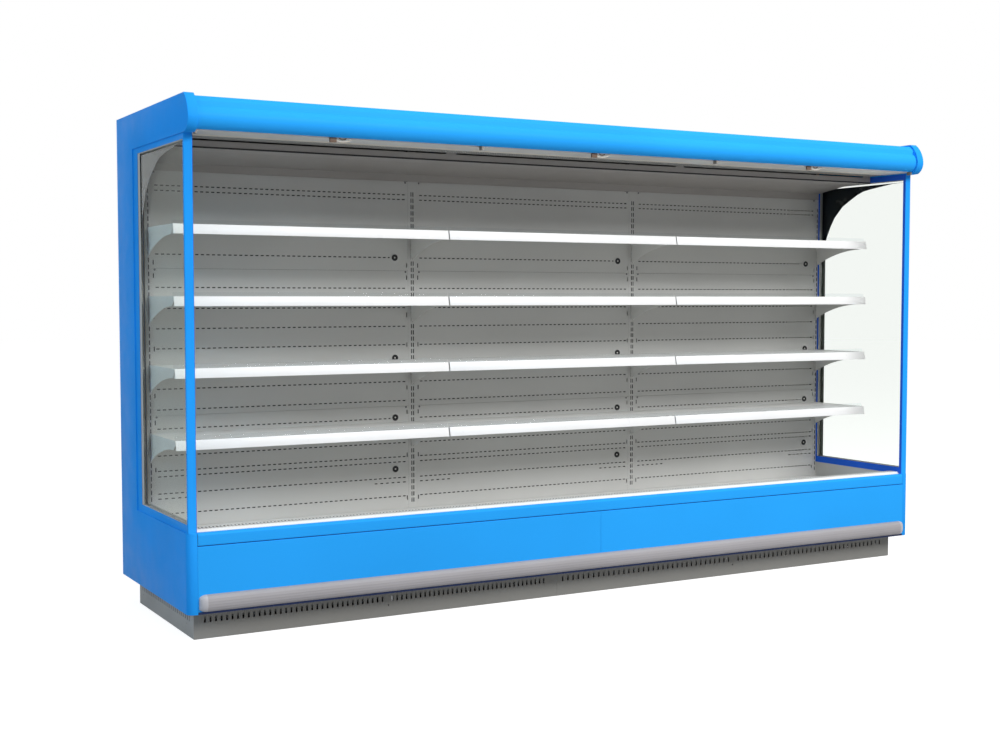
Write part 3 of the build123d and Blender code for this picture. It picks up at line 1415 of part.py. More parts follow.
rocker_half = SWITCH_HEIGHT / 2
rocker_proud = bezel_front - rocker_half * math.tan(math.radians(SWITCH_THROW))
pin_reach = SWITCH_WIDTH / 2 + SWITCH_GAP + SWITCH_PIN_LENGTH
with BuildPart() as light_switch:
    with BuildSketch(side_plane(SWITCH_X - SWITCH_WIDTH / 2)):
        with BuildLine():
            Polyline(
                (pin_depth + SWITCH_BACK, switch_height),
                (rocker_proud + SWITCH_EDGE, switch_height - rocker_half),
                (rocker_proud, switch_height - rocker_half),
                (bezel_front, switch_height),
                (bezel_front, switch_height + rocker_half),
                (bezel_front + SWITCH_EDGE, switch_height + rocker_half),
                close=True,
            )
        make_face()
    extrude(amount=SWITCH_WIDTH)
    add(along_x(SWITCH_PIN_RADIUS, pin_reach, SWITCH_X, pin_depth, switch_height))
keep(light_switch.part, "light_switch")
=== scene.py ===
import json
import math

import bmesh
import bpy
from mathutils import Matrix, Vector

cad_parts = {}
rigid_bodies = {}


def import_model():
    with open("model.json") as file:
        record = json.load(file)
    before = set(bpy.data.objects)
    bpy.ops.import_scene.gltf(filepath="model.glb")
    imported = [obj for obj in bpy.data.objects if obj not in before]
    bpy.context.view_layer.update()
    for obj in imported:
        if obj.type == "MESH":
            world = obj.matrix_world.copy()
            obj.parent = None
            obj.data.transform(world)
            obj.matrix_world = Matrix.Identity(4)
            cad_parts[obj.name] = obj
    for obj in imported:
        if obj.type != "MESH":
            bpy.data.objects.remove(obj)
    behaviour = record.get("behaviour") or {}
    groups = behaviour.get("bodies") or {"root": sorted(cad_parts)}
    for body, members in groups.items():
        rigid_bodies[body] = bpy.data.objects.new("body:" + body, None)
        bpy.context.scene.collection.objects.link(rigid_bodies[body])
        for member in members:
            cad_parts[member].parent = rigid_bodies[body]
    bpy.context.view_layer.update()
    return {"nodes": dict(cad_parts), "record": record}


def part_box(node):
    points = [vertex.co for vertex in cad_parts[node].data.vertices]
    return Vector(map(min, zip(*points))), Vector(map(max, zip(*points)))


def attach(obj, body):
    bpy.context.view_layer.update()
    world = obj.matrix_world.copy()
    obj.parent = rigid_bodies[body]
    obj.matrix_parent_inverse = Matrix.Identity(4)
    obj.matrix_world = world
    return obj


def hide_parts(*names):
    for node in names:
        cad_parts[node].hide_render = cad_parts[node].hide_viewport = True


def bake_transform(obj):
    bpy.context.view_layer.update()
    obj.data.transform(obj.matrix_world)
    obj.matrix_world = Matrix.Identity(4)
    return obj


# Open multideck display fridge: finishes, pierced sheet metal, glazing and night blinds.
# Sizes are in millimetres where they are written, and depths run back from the end posts.

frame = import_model()
nodes = frame["nodes"]

BODY_DEPTH = 960.0
POST_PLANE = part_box("end_wall_right")[1].y - BODY_DEPTH / 1000
BAYS = (-1250.0, 0.0, 1250.0)
DIVISIONS = (-1875.0, -625.0, 625.0, 1875.0)
REAR_FACE = 648.0


def place(x, depth, height):
    """A point in metres from its place along, behind the posts and above the floor."""
    return Vector((x / 1000, POST_PLANE + depth / 1000, height / 1000))


# ===== finishes =====


def srgb(red, green, blue):
    """A colour as seen, turned into the linear values that a shader takes."""

    def line(value):
        value /= 255
        return value / 12.92 if value <= 0.04045 else ((value + 0.055) / 1.055) ** 2.4

    return (line(red), line(green), line(blue), 1.0)


def maths(tree, operation, *terms):
    """A maths node over outputs and numbers."""
    made = tree.nodes.new("ShaderNodeMath")
    made.operation = operation
    for socket, term in zip(made.inputs, terms):
        if isinstance(term, float):
            socket.default_value = term
        else:
            tree.links.new(term, socket)
    return made.outputs[0]


class Finish:
    """A surface finish: a base shader with its colour, sheen and relief drawn from the surface."""

    def __init__(self, name, **constants):
        self.material = bpy.data.materials.new(name)
        self.material.use_nodes = True
        self.tree = self.material.node_tree
        self.shader = self.tree.nodes["Principled BSDF"]
        for socket, value in constants.items():
            self.shader.inputs[socket.replace("_", " ")].default_value = value
        self.place = self.node("ShaderNodeTexCoord").outputs["Object"]
        self.relief = None

    def node(self, kind, **settings):
        made = self.tree.nodes.new(kind)
        for name, value in settings.items():
            setattr(made, name, value)
        return made

    def join(self, start, end):
        self.tree.links.new(start, end)

    def stretched(self, scale):
        """The surface's own coordinates, scaled unevenly, for brushed and drawn marks."""
        mapping = self.node("ShaderNodeMapping")
        self.join(self.place, mapping.inputs["Vector"])
        mapping.inputs["Scale"].default_value = scale
        return mapping.outputs["Vector"]

    def noise(self, scale, detail=3.0, spread=0.5, along=None):
        made = self.node("ShaderNodeTexNoise")
        self.join(along or self.place, made.inputs["Vector"])
        made.inputs["Scale"].default_value = scale
        made.inputs["Detail"].default_value = detail
        made.inputs["Roughness"].default_value = spread
        return made.outputs["Fac"]

    def cells(self, scale, output="Distance"):
        made = self.node("ShaderNodeTexVoronoi")
        self.join(self.place, made.inputs["Vector"])
        made.inputs["Scale"].default_value = scale
        return made.outputs[output]

    def bands(self, direction, scale):
        """Even bands across a direction."""
        made = self.node("ShaderNodeTexWave", wave_type="BANDS", bands_direction=direction)
        self.join(self.place, made.inputs["Vector"])
        made.inputs["Scale"].default_value = scale
        return made.outputs["Fac"]

    def spread(self, value, low, high, to_low, to_high):
        """Maps a value's range onto another."""
        made = self.node("ShaderNodeMapRange")
        self.join(value, made.inputs["Value"])
        for name, number in (
            ("From Min", low),
            ("From Max", high),
            ("To Min", to_low),
            ("To Max", to_high),
        ):
            made.inputs[name].default_value = number
        return made.outputs["Result"]

    def between(self, share, first, second):
        """A colour between two others; each is a colour or another colour output."""
        made = self.node("ShaderNodeMix", data_type="RGBA")
        self.join(share, made.inputs[0])
        for socket, colour in ((made.inputs[6], first), (made.inputs[7], second)):
            if isinstance(colour, tuple):
                socket.default_value = colour
            else:
                self.join(colour, socket)
        return made.outputs[2]

    def colour(self, output):
        self.join(output, self.shader.inputs["Base Color"])

    def roughness(self, output):
        self.join(output, self.shader.inputs["Roughness"])

    def raised(self, height, depth):
        """Adds relief of a depth in metres on top of what is there."""
        bump = self.node("ShaderNodeBump")
        bump.inputs["Strength"].default_value = 1.0
        bump.inputs["Distance"].default_value = depth
        self.join(height, bump.inputs["Height"])
        if self.relief is not None:
            self.join(self.relief, bump.inputs["Normal"])
        self.relief = bump.outputs["Normal"]
        self.join(self.relief, self.shader.inputs["Normal"])


def shade(colour, factor):
    return tuple(min(1.0, part * factor) for part in colour[:3]) + (1.0,)


def band_scale(pitch):
    """The band scale that gives a pitch in millimetres."""
    return math.pi / (10 * pitch / 1000)


def painted(name, colour, gloss=0.38, wear=0.35, peel=0.00012, sheen=0.3):
    """Stove-enamelled sheet: faint orange peel, slow changes of tone and fine rub marks."""
    made = Finish(name, Specular_IOR_Level=sheen)
    tone = made.noise(1.3, 2)
    tone = made.spread(tone, 0.3, 0.7, 0, 1)
    body = made.between(tone, shade(colour, 0.95), shade(colour, 1.03))
    rub = made.noise(34, 6, 0.7, made.stretched((0.5, 0.5, 5)))
    worn = made.spread(rub, 0.62, 0.8, 0, wear)
    made.colour(made.between(worn, body, shade(colour, 0.82)))
    made.roughness(made.spread(made.noise(9, 5), 0.25, 0.75, gloss - 0.06, gloss + 0.09))
    made.raised(made.noise(420, 2), peel)
    return made.material


def moulded(name, colour, gloss=0.42, grain=0.00010, scale=1500, ribs=0.0, sheen=0.3):
    """Moulded plastic: a fine spark-eroded grain over slow changes of tone."""
    made = Finish(name, Specular_IOR_Level=sheen)
    tone = made.noise(2.1, 3)
    tone = made.spread(tone, 0.3, 0.7, 0, 1)
    made.colour(made.between(tone, shade(colour, 0.94), shade(colour, 1.03)))
    made.roughness(made.spread(made.noise(14, 4), 0.25, 0.75, gloss - 0.05, gloss + 0.08))
    made.raised(made.cells(scale), grain)
    if ribs:
        made.raised(made.bands("Z", band_scale(ribs)), 0.0004)
    return made.material


def zinc_coated(name, colour):
    """Hot-dip zinc: spangle crystals that differ in tone and gloss."""
    made = Finish(name, Metallic=0.85, Specular_IOR_Level=0.5)
    crystal = made.cells(95, "Color")
    grey = made.node("ShaderNodeRGBToBW")
    made.join(crystal, grey.inputs["Color"])
    made.colour(made.between(grey.outputs["Val"], shade(colour, 0.72), shade(colour, 1.08)))
    made.roughness(made.spread(grey.outputs["Val"], 0, 1, 0.32, 0.55))
    made.raised(made.noise(600, 3), 0.00006)
    return made.material


def drawn_metal(name, colour, gloss=0.3, lines=(6, 900, 900), metal=1.0):
    """Drawn or brushed metal with lines along the cabinet."""
    made = Finish(name, Metallic=metal)
    line = made.noise(1, 4, 0.6, made.stretched(lines))
    made.colour(made.between(line, shade(colour, 0.86), shade(colour, 1.06)))
    made.roughness(made.spread(line, 0.3, 0.7, gloss, gloss + 0.14))
    made.raised(line, 0.00005)
    return made.material


def finned(name, colour, pitch):
    """A fin pack's own colour in blotchy tone, rougher and smoother in bands at the fin pitch."""
    made = Finish(name, Metallic=0.8)
    band = made.bands("X", band_scale(pitch))
    made.colour(made.between(made.noise(60, 3), shade(colour, 0.8), shade(colour, 1.05)))
    made.roughness(made.spread(band, 0, 1, 0.3, 0.5))
    made.raised(made.noise(300, 2), 0.00005)
    return made.material


def foam_board(name, colour):
    """The pale skin over the insulation, lightly dimpled."""
    made = Finish(name)
    made.colour(made.between(made.noise(5, 5), shade(colour, 0.93), shade(colour, 1.02)))
    made.roughness(made.spread(made.noise(30, 3), 0.3, 0.7, 0.55, 0.7))
    made.raised(made.noise(160, 4), 0.0002)
    return made.material


def window_glass(name, tint, bend=1.03, haze=0.01):
    """Clear glazing that lets its tint through, with a trace of cleaning haze."""
    made = Finish(name, Transmission_Weight=1.0, IOR=bend, Base_Color=tint, Specular_IOR_Level=0.5)
    made.roughness(made.spread(made.noise(4, 6, 0.65), 0.45, 0.8, 0.0, haze))
    return made.material


def cloth_weave(name, colour):
    """Coated blind cloth: crossed threads at their real pitch."""
    made = Finish(name, Sheen_Weight=0.15, Sheen_Roughness=0.5)
    crossed = maths(made.tree, "MULTIPLY", made.bands("X", 260), made.bands("Z", 260))
    made.colour(made.between(crossed, shade(colour, 0.86), shade(colour, 1.04)))
    made.roughness(made.spread(made.noise(20, 3), 0.3, 0.7, 0.62, 0.78))
    made.raised(crossed, 0.00015)
    return made.material


BLUE = srgb(44, 166, 250)
finishes = {
    "blue_panel": painted("blue enamel", BLUE, wear=0.12, sheen=0.02),
    "blue_moulding": moulded("blue moulding", srgb(40, 160, 250), sheen=0.02),
    # The frame is the body's blue darkened as painted shade.
    "blue_frame": moulded("blue frame with painted shade", srgb(40, 104, 226), grain=0.00006, sheen=0.1),
    "grey_paint": painted("inner wall enamel", srgb(203, 203, 200), gloss=0.45),
    "pale_paint": painted("shelf enamel", srgb(226, 226, 223), gloss=0.42, wear=0.3),
    "taupe_paint": painted("ceiling enamel", srgb(176, 172, 168), gloss=0.48),
    "white_paint": painted("intake enamel", srgb(236, 236, 233), gloss=0.4),
    "kick_grey": painted("kick plate enamel", srgb(138, 137, 133), gloss=0.5, wear=0.5),
    "bumper_grey": moulded("bumper vinyl", srgb(164, 160, 162), gloss=0.5, ribs=11.0),
    "insulation": foam_board("insulation skin", srgb(206, 205, 200)),
    "galvanised": zinc_coated("zinc", srgb(178, 180, 182)),
    "black_steel": painted("black enamel", srgb(34, 35, 37), gloss=0.4),
    "bright_steel": drawn_metal("bright steel", srgb(214, 216, 219), 0.16),
    "glass": window_glass("pane glass", srgb(249, 251, 249)),
    "clear_plastic": window_glass("clear front stop", srgb(246, 248, 249)),
    "price_white": moulded("price rail white", srgb(246, 246, 245), gloss=0.3),
    "coil_aluminium": finned("fin aluminium", srgb(196, 198, 200), 6.0),
    "fan_black": moulded("fan plastic", srgb(30, 31, 33)),
    "pipe_grey": moulded("waste pipe", srgb(122, 124, 126), gloss=0.5),
    "lamp_cover": moulded("lamp cover", srgb(240, 232, 216), gloss=0.35, grain=0.00005),
    "honeycomb": moulded("honeycomb resin", srgb(196, 195, 190), gloss=0.5),
    "socket_black": moulded("socket black", srgb(42, 42, 44)),
    "blind_cloth": cloth_weave("blind cloth", srgb(225, 227, 228)),
    "bar_aluminium": drawn_metal("blind bar aluminium", srgb(196, 198, 201), 0.28),
    "switch_black": moulded("switch black", srgb(24, 24, 26), gloss=0.25),
    "roller": drawn_metal("roller tube", srgb(206, 208, 211), 0.35),
}
glass_print = moulded("glass print black", srgb(42, 48, 56), gloss=0.22, grain=0.00003)
spacer_grey = moulded("pane spacer", srgb(176, 178, 175), gloss=0.5)
handle_wire = moulded("blind handle wire", srgb(226, 217, 204), gloss=0.3)
catch_brown = moulded("blind catch", srgb(112, 90, 76), gloss=0.35)
# The bumper's end caps are lighter than the rail as painted highlight on their rounding.
bumper_cap_highlit = moulded("bumper cap with painted highlight", srgb(186, 183, 186), gloss=0.4)
screw_steel = drawn_metal("screw steel", srgb(118, 118, 120), 0.45, (300, 300, 300), 0.6)
plate_grey = painted("socket plate enamel", srgb(206, 206, 203))
contact_white = moulded("socket contact", srgb(236, 235, 230), gloss=0.3)
# Near-black painted shade for slot walls, grille tongues and the dark sheets set behind slots.
slot_shade_black = painted("painted slot shade", srgb(34, 34, 34), gloss=0.7)
# Dark navy painted shade for the front panels' hem under the bumper.
hem_painted_shade = painted("hem painted shade", srgb(24, 40, 84), gloss=0.6)
gasket_grey = moulded("window gasket", srgb(168, 170, 168), gloss=0.6)
border_grey = moulded("pane border", srgb(158, 161, 156), gloss=0.35, grain=0.00003)

own_finish = {"blind_brackets": moulded("bracket resin", srgb(150, 142, 132), gloss=0.5)}
for part in frame["record"]["subparts"]:
    mesh = nodes[part["node"]].data
    mesh.materials.clear()
    mesh.materials.append(own_finish.get(part["node"], finishes[part["material_slot"]]))
slot_of = {part["node"]: part["material_slot"] for part in frame["record"]["subparts"]}

# ===== shared shaping =====


def keep_mesh(shape, name, finish):
    """Turns a bmesh into a named object with its finish."""
    mesh = bpy.data.meshes.new(name)
    shape.to_mesh(mesh)
    shape.free()
    made = bpy.data.objects.new(name, mesh)
    bpy.context.scene.collection.objects.link(made)
    mesh.materials.append(finish)
    return made


def settled(made):
    """The same object with its modifiers made part of its mesh."""
    bpy.context.view_layer.update()
    lazy = bpy.context.evaluated_depsgraph_get()
    mesh = bpy.data.meshes.new_from_object(made.evaluated_get(lazy))
    made.modifiers.clear()
    old, made.data = made.data, mesh
    bpy.data.meshes.remove(old)
    return made


def soften(made, width, segments=2, angle=34):
    """Rounds the sharp edges by a width in millimetres and shades the curves smooth."""
    if width:
        edge = made.modifiers.new("edges", "BEVEL")
        edge.width = width / 1000
        edge.segments = segments
        edge.limit_method = "ANGLE"
        edge.angle_limit = math.radians(angle)
        edge.harden_normals = False
        settled(made)
    made.data.shade_smooth()
    made.data.set_sharp_from_angle(angle=math.radians(angle))
    return made


def merged(node):
    """A welded copy of a CAD node as a bmesh, with its flat faces joined up."""
    shape = bmesh.new()
    shape.from_mesh(nodes[node].data)
    bmesh.ops.remove_doubles(shape, verts=shape.verts, dist=0.000005)
    bmesh.ops.dissolve_limit(
        shape, angle_limit=math.radians(0.5), verts=shape.verts, edges=shape.edges
    )
    return shape


def stand_for(made, node, body="cabinet"):
    """Has an object stand for a CAD node on a body: hides the node and sets the object on the
    body.
    """
    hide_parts(node)
    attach(made, body)
    return made


def islands(shape):
    """The separate solids of a bmesh, each as its list of faces, in the same order each run."""
    left, found = dict.fromkeys(shape.faces), []
    while left:
        start = left.popitem()[0]
        group, edge = [start], [start]
        while edge:
            for link in edge.pop().edges:
                for face in link.link_faces:
                    if face in left:
                        del left[face]
                        group.append(face)
                        edge.append(face)
        found.append(group)
    return found


def box_of(group):
    """The lowest and highest corner of a list of faces."""
    points = [v.co for face in group for v in face.verts]
    return [Vector([pick(p[i] for p in points) for i in range(3)]) for pick in (min, max)]


def island_only(node, chosen):
    """A welded copy of a node that keeps only the solids whose box is chosen."""
    shape = merged(node)
    drop = [face for group in islands(shape) if not chosen(*box_of(group)) for face in group]
    bmesh.ops.delete(shape, geom=drop, context="FACES")
    return shape


def block(low, high):
    """A plain rectangular block between two corners, in metres, as a bmesh."""
    shape = bmesh.new()
    bmesh.ops.create_cube(shape, size=1)
    for vertex in shape.verts:
        vertex.co = Vector([low[i] if vertex.co[i] < 0 else high[i] for i in range(3)])
    return shape


def slab(x_range, depth_range, height_range):
    """A plain rectangular plate in its place, as a bmesh."""
    ends = [place(*corner) for corner in zip(x_range, depth_range, height_range)]
    return block(*[[pick(pair) for pair in zip(*ends)] for pick in (min, max)])


def lofted(sections, endless=False):
    """A skin over rings of equally many points; its ends are closed, or joined if endless."""
    shape = bmesh.new()
    rings = [[shape.verts.new(point) for point in section] for section in sections]
    if not endless:
        shape.faces.new(rings[0])
        shape.faces.new(rings[-1])
    for one, two in zip(rings, rings[1:] + rings[:1] if endless else rings[1:]):
        for i in range(len(one)):
            j = (i + 1) % len(one)
            shape.faces.new((one[i], one[j], two[j], two[i]))
    bmesh.ops.recalc_face_normals(shape, faces=shape.faces)
    return shape


def join_in(shape, other):
    """Adds another bmesh to this one and frees it."""
    spare = bpy.data.meshes.new("spare")
    other.to_mesh(spare)
    other.free()
    shape.from_mesh(spare)
    bpy.data.meshes.remove(spare)


def turned(profile, segments):
    """A round piece from its outline of (radius, length along the axis), as a bmesh about Y."""
    shape = bmesh.new()
    rings = []
    for radius, along in profile:
        angles = [2 * math.pi * i / segments for i in range(segments if radius else 1)]
        points = [Vector((radius * math.cos(a), along, radius * math.sin(a))) for a in angles]
        rings.append([shape.verts.new(point / 1000) for point in points])
    for one, two in zip(rings, rings[1:]):
        for i in range(segments):
            j = (i + 1) % segments
            corners = [one[i % len(one)], one[j % len(one)], two[j % len(two)], two[i % len(two)]]
            shape.faces.new(list(dict.fromkeys(corners)))
    bmesh.ops.recalc_face_normals(shape, faces=shape.faces)
    return shape


def solid_boxes(node):
    """The lowest and highest corner of each solid of a node."""
    shape = merged(node)
    boxes = [box_of(group) for group in islands(shape)]
    shape.free()
    return boxes


def cut_from(made, tool):
    """Cuts a bmesh tool out of an object."""
    cutter = keep_mesh(tool, "cutter", made.data.materials[0])
    cut = made.modifiers.new("cut", "BOOLEAN")
    cut.operation = "DIFFERENCE"
    cut.solver = "MANIFOLD"
    cut.object = cutter
    settled(made)
    bpy.data.objects.remove(cutter)


def two_finishes(node, name, second, is_second, cuts=(), added=()):
    """Stands for a node with a copy, cut along planes, whose chosen faces have a second finish."""
    shape = merged(node)
    for point, normal in cuts:
        parts = list(shape.verts) + list(shape.edges) + list(shape.faces)
        bmesh.ops.bisect_plane(shape, geom=parts, plane_co=point, plane_no=normal)
    for other in added:
        join_in(shape, other)
    for face in shape.faces:
        face.material_index = int(is_second(face.calc_center_median(), face.normal))
    made = keep_mesh(shape, name, finishes[slot_of[node]])
    made.data.materials.append(second)
    soften(made, 0)
    stand_for(made, node)


def lines_between(pairs):
    """A mesh of loose straight edges, one for each pair of points."""
    shape = bmesh.new()
    for start, end in pairs:
        shape.edges.new((shape.verts.new(start), shape.verts.new(end)))
    return shape


# ===== node trees for what repeats =====


class Pattern:
    """A geometry node tree with named sizes."""

    def __init__(self, name, **inputs):
        self.tree = bpy.data.node_groups.new(name, "GeometryNodeTree")
        face = self.tree.interface
        face.new_socket("Geometry", in_out="INPUT", socket_type="NodeSocketGeometry")
        face.new_socket("Geometry", in_out="OUTPUT", socket_type="NodeSocketGeometry")
        self.ids = {}
        for title, kind in inputs.items():
            socket = face.new_socket(
                title.replace("_", " "), in_out="INPUT", socket_type=f"NodeSocket{kind}"
            )
            self.ids[title] = socket.identifier
        self.source = self.tree.nodes.new("NodeGroupInput")
        self.end = self.tree.nodes.new("NodeGroupOutput")

    def add(self, kind, **settings):
        made = self.tree.nodes.new(kind)
        for name, value in settings.items():
            setattr(made, name, value)
        return made

    def join(self, start, output, end, entry):
        self.tree.links.new(start.outputs[output], end.inputs[entry])

    def size(self, title, end, entry):
        self.tree.links.new(self.source.outputs[title.replace("_", " ")], end.inputs[entry])

    def vector(self, *titles):
        made = self.add("ShaderNodeCombineXYZ")
        for axis, title in zip("XYZ", titles):
            self.size(title, made, axis)
        return made

    def grow(self, shape, name, **values):
        """Runs the tree over a mesh and keeps the plain result."""
        start = bpy.data.meshes.new(name)
        shape.to_mesh(start)
        shape.free()
        made = bpy.data.objects.new(name, start)
        bpy.context.scene.collection.objects.link(made)
        modifier = made.modifiers.new("pattern", "NODES")
        modifier.node_group = self.tree
        for title, value in values.items():
            modifier[self.ids[title]] = value
        return settled(made)


def spaced_along(pattern):
    """Points at an even pitch along the given edges."""
    curve = pattern.add("GeometryNodeMeshToCurve")
    pattern.join(pattern.source, "Geometry", curve, "Mesh")
    even = pattern.add("GeometryNodeResampleCurve", mode="LENGTH")
    pattern.join(curve, "Curve", even, "Curve")
    pattern.size("Pitch", even, "Length")
    return even


def finish_off(pattern, node, output, chosen=None):
    """Ends a tree with real geometry in its material, or only its chosen faces."""
    real = pattern.add("GeometryNodeRealizeInstances")
    pattern.join(node, output, real, "Geometry")
    coat = pattern.add("GeometryNodeSetMaterial")
    pattern.join(real, "Geometry", coat, "Geometry")
    pattern.size("Finish", coat, "Material")
    if chosen is not None:
        pattern.join(chosen, 0, coat, "Selection")
    pattern.join(coat, "Geometry", pattern.end, "Geometry")


def slot_punch():
    """Punches oblong slots through a sheet along rows; the slots' walls take a near-black finish
    as painted shade.
    """
    made = Pattern(
        "slot punch",
        Sheet="Object",
        Slot_Length="Float",
        Slot_Depth="Float",
        Slot_Height="Float",
        Pitch="Float",
        Finish="Material",
        Cut_Edge="Material",
    )
    even = spaced_along(made)
    tool = made.add("GeometryNodeMeshCube")
    made.join(made.vector("Slot_Length", "Slot_Depth", "Slot_Height"), "Vector", tool, "Size")
    edge = made.add("GeometryNodeSetMaterial")
    made.join(tool, "Mesh", edge, "Geometry")
    made.size("Cut_Edge", edge, "Material")
    put = made.add("GeometryNodeInstanceOnPoints")
    made.join(even, "Curve", put, "Points")
    made.join(edge, "Geometry", put, "Instance")
    real = made.add("GeometryNodeRealizeInstances")
    made.join(put, "Instances", real, "Geometry")
    sheet = made.add("GeometryNodeObjectInfo")
    made.size("Sheet", sheet, "Object")
    cut = made.add("GeometryNodeMeshBoolean", operation="DIFFERENCE", solver="MANIFOLD")
    made.join(sheet, "Geometry", cut, "Mesh 1")
    made.join(real, "Geometry", cut, "Mesh 2")
    is_shaded_wall = made.add("GeometryNodeMaterialSelection")
    made.size("Cut_Edge", is_shaded_wall, "Material")
    is_sheet = made.add("FunctionNodeBooleanMath", operation="NOT")
    made.join(is_shaded_wall, "Selection", is_sheet, 0)
    finish_off(made, cut, "Mesh", is_sheet)
    return made


def set_copies(name, along):
    """Sets copies of one piece along rows, or at points."""
    pitch = {"Pitch": "Float"} if along else {}
    made = Pattern(name, Piece="Object", **pitch, Finish="Material")
    spots, output = (spaced_along(made), "Curve") if along else (made.source, "Geometry")
    piece = made.add("GeometryNodeObjectInfo")
    made.size("Piece", piece, "Object")
    put = made.add("GeometryNodeInstanceOnPoints")
    made.join(spots, output, put, "Points")
    made.join(piece, "Geometry", put, "Instance")
    finish_off(made, put, "Instances")
    return made


punch_slots = slot_punch()
in_rows, at_points = set_copies("pieces in rows", True), set_copies("pieces at points", False)


def cut_sheet(node, name, rows, first_cut=None, **sizes):
    """Stands for a sheet-metal node with a copy that is pierced along the rows, its slot walls in
    near-black painted shade.
    """
    blank = keep_mesh(merged(node), name + "_blank", finishes[slot_of[node]])
    if first_cut is not None:
        cut_from(blank, first_cut)
    made = punch_slots.grow(
        lines_between(rows),
        name,
        Sheet=blank,
        Finish=finishes[slot_of[node]],
        Cut_Edge=slot_shade_black,
        **sizes,
    )
    bpy.data.objects.remove(blank)
    soften(made, 0)
    stand_for(made, node)


# ===== rear panels, pierced with rows of slots =====

LONG_ROWS = (1830, 1808, 1538, 1396, 1306, 1219, 1133, 960, 871, 789, 673, 607, 583, 509, 421)
SHORT_ROWS = (756, 487)
ROW_INSET = 45.0
SHORT_ROW = 145.0
SOCKET_CLEAR = 118.0
SOCKET_HEIGHTS = (551, 793, 1072, 1538)
LEVEL_WITH = 30.0  # a row this near a socket's height stops short of it
CUT_REACH = 6.0  # in front of and behind the face of a sheet


def rear_rows(bay):
    """The slot rows of one bay; those level with a light socket stop short of it."""
    low, high = DIVISIONS[bay] + ROW_INSET, DIVISIONS[bay + 1] - ROW_INSET
    rows = []
    for height in LONG_ROWS:
        by_socket = any(abs(height - socket) < LEVEL_WITH for socket in SOCKET_HEIGHTS)
        end = high - SOCKET_CLEAR + ROW_INSET if by_socket else high
        rows.append((place(low, REAR_FACE, height), place(end, REAR_FACE, height)))
    for height in SHORT_ROWS:
        rows.append((place(low, REAR_FACE, height), place(low + SHORT_ROW, REAR_FACE, height)))
        rows.append((place(high - SHORT_ROW, REAR_FACE, height), place(high, REAR_FACE, height)))
    return rows


TAB_HEIGHTS = (1503, 1446, 1272, 1133, 932, 817, 614, 412)
TAB_SIZE = (5.0, 20.0)
TAB_OFFSET = 29.0
for bay in range(3):
    tabs = bmesh.new()
    for x in (DIVISIONS[bay] + TAB_OFFSET, DIVISIONS[bay + 1] - TAB_OFFSET):
        for height in TAB_HEIGHTS:
            across = (x - TAB_SIZE[0] / 2, x + TAB_SIZE[0] / 2)
            up = (height - TAB_SIZE[1] / 2, height + TAB_SIZE[1] / 2)
            join_in(tabs, slab(across, (REAR_FACE - CUT_REACH, REAR_FACE + CUT_REACH), up))
    cut_sheet(
        f"rear_panels_bay_{bay + 1}",
        f"pierced_rear_panels_{bay + 1}",
        rear_rows(bay),
        tabs,
        Slot_Length=0.0145,
        Slot_Depth=2 * CUT_REACH / 1000,
        Slot_Height=0.0046,
        Pitch=0.0245,
    )

# A near-black sheet over the back of the air duct is painted shade, for the panels' slots to look
# into.
SHADE_SHEET_X = (-1873.0, 1873.0)
SHADE_SHEET_HEIGHTS = (345.0, 1900.0)
duct_back = (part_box("back_wall")[0].y - POST_PLANE) * 1000
duct_liner = keep_mesh(
    slab(SHADE_SHEET_X, (duct_back - 1.5, duct_back - 0.1), SHADE_SHEET_HEIGHTS),
    "duct_liner",
    slot_shade_black,
)
soften(duct_liner, 0.4)
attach(duct_liner, "cabinet")

# ===== intake grilles, pierced with slots =====

GRILLE_TOP = 448.0
GRILLE_END = 12.0
GRILLE_PITCH = 0.015
SLOT_MIDDLE, TONGUE_MIDDLE = 57.0, 71.0  # how far behind the posts
TONGUE_HALF = (0.0037, 0.0005)
TONGUE_REACH = (-0.0079, -0.0001)


def grille_rows(depth):
    """A row over each bay's grille."""
    return [
        (place(low + GRILLE_END, depth, GRILLE_TOP), place(high - GRILLE_END, depth, GRILLE_TOP))
        for low, high in zip(DIVISIONS, DIVISIONS[1:])
    ]


cut_sheet(
    "intake_grilles",
    "pierced_intake_grilles",
    grille_rows(SLOT_MIDDLE),
    Slot_Length=0.0075,
    Slot_Depth=0.030,
    Slot_Height=0.008,
    Pitch=GRILLE_PITCH,
)

# A tongue is bent down at the rear of each slot; it is near-black as painted shade.
half_x, half_y = TONGUE_HALF
tongue = block((-half_x, -half_y, TONGUE_REACH[0]), (half_x, half_y, TONGUE_REACH[1]))
tongue = soften(keep_mesh(tongue, "tongue", slot_shade_black), 0.3)
tongues = in_rows.grow(
    lines_between(grille_rows(TONGUE_MIDDLE)),
    "intake_grille_tongues",
    Piece=tongue,
    Pitch=GRILLE_PITCH,
    Finish=slot_shade_black,
)
bpy.data.objects.remove(tongue)
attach(tongues, "cabinet")

# ===== honeycomb of the air curtain =====

CELL_RADIUS = 7.0
CELL_WALL = 0.5
CELL_HEIGHT = 20.0
HONEYCOMB_X = (-1862, 1850)
HONEYCOMB_FRONT, HONEYCOMB_WIDTH, HONEYCOMB_FOOT = 150, 100, 1990


def six_corners(reach, level):
    """The corners of a hexagon in metres, from millimetres."""
    angles = [math.radians(60 * i + 30) for i in range(6)]
    return [Vector((reach * math.cos(a), reach * math.sin(a), level)) / 1000 for a in angles]


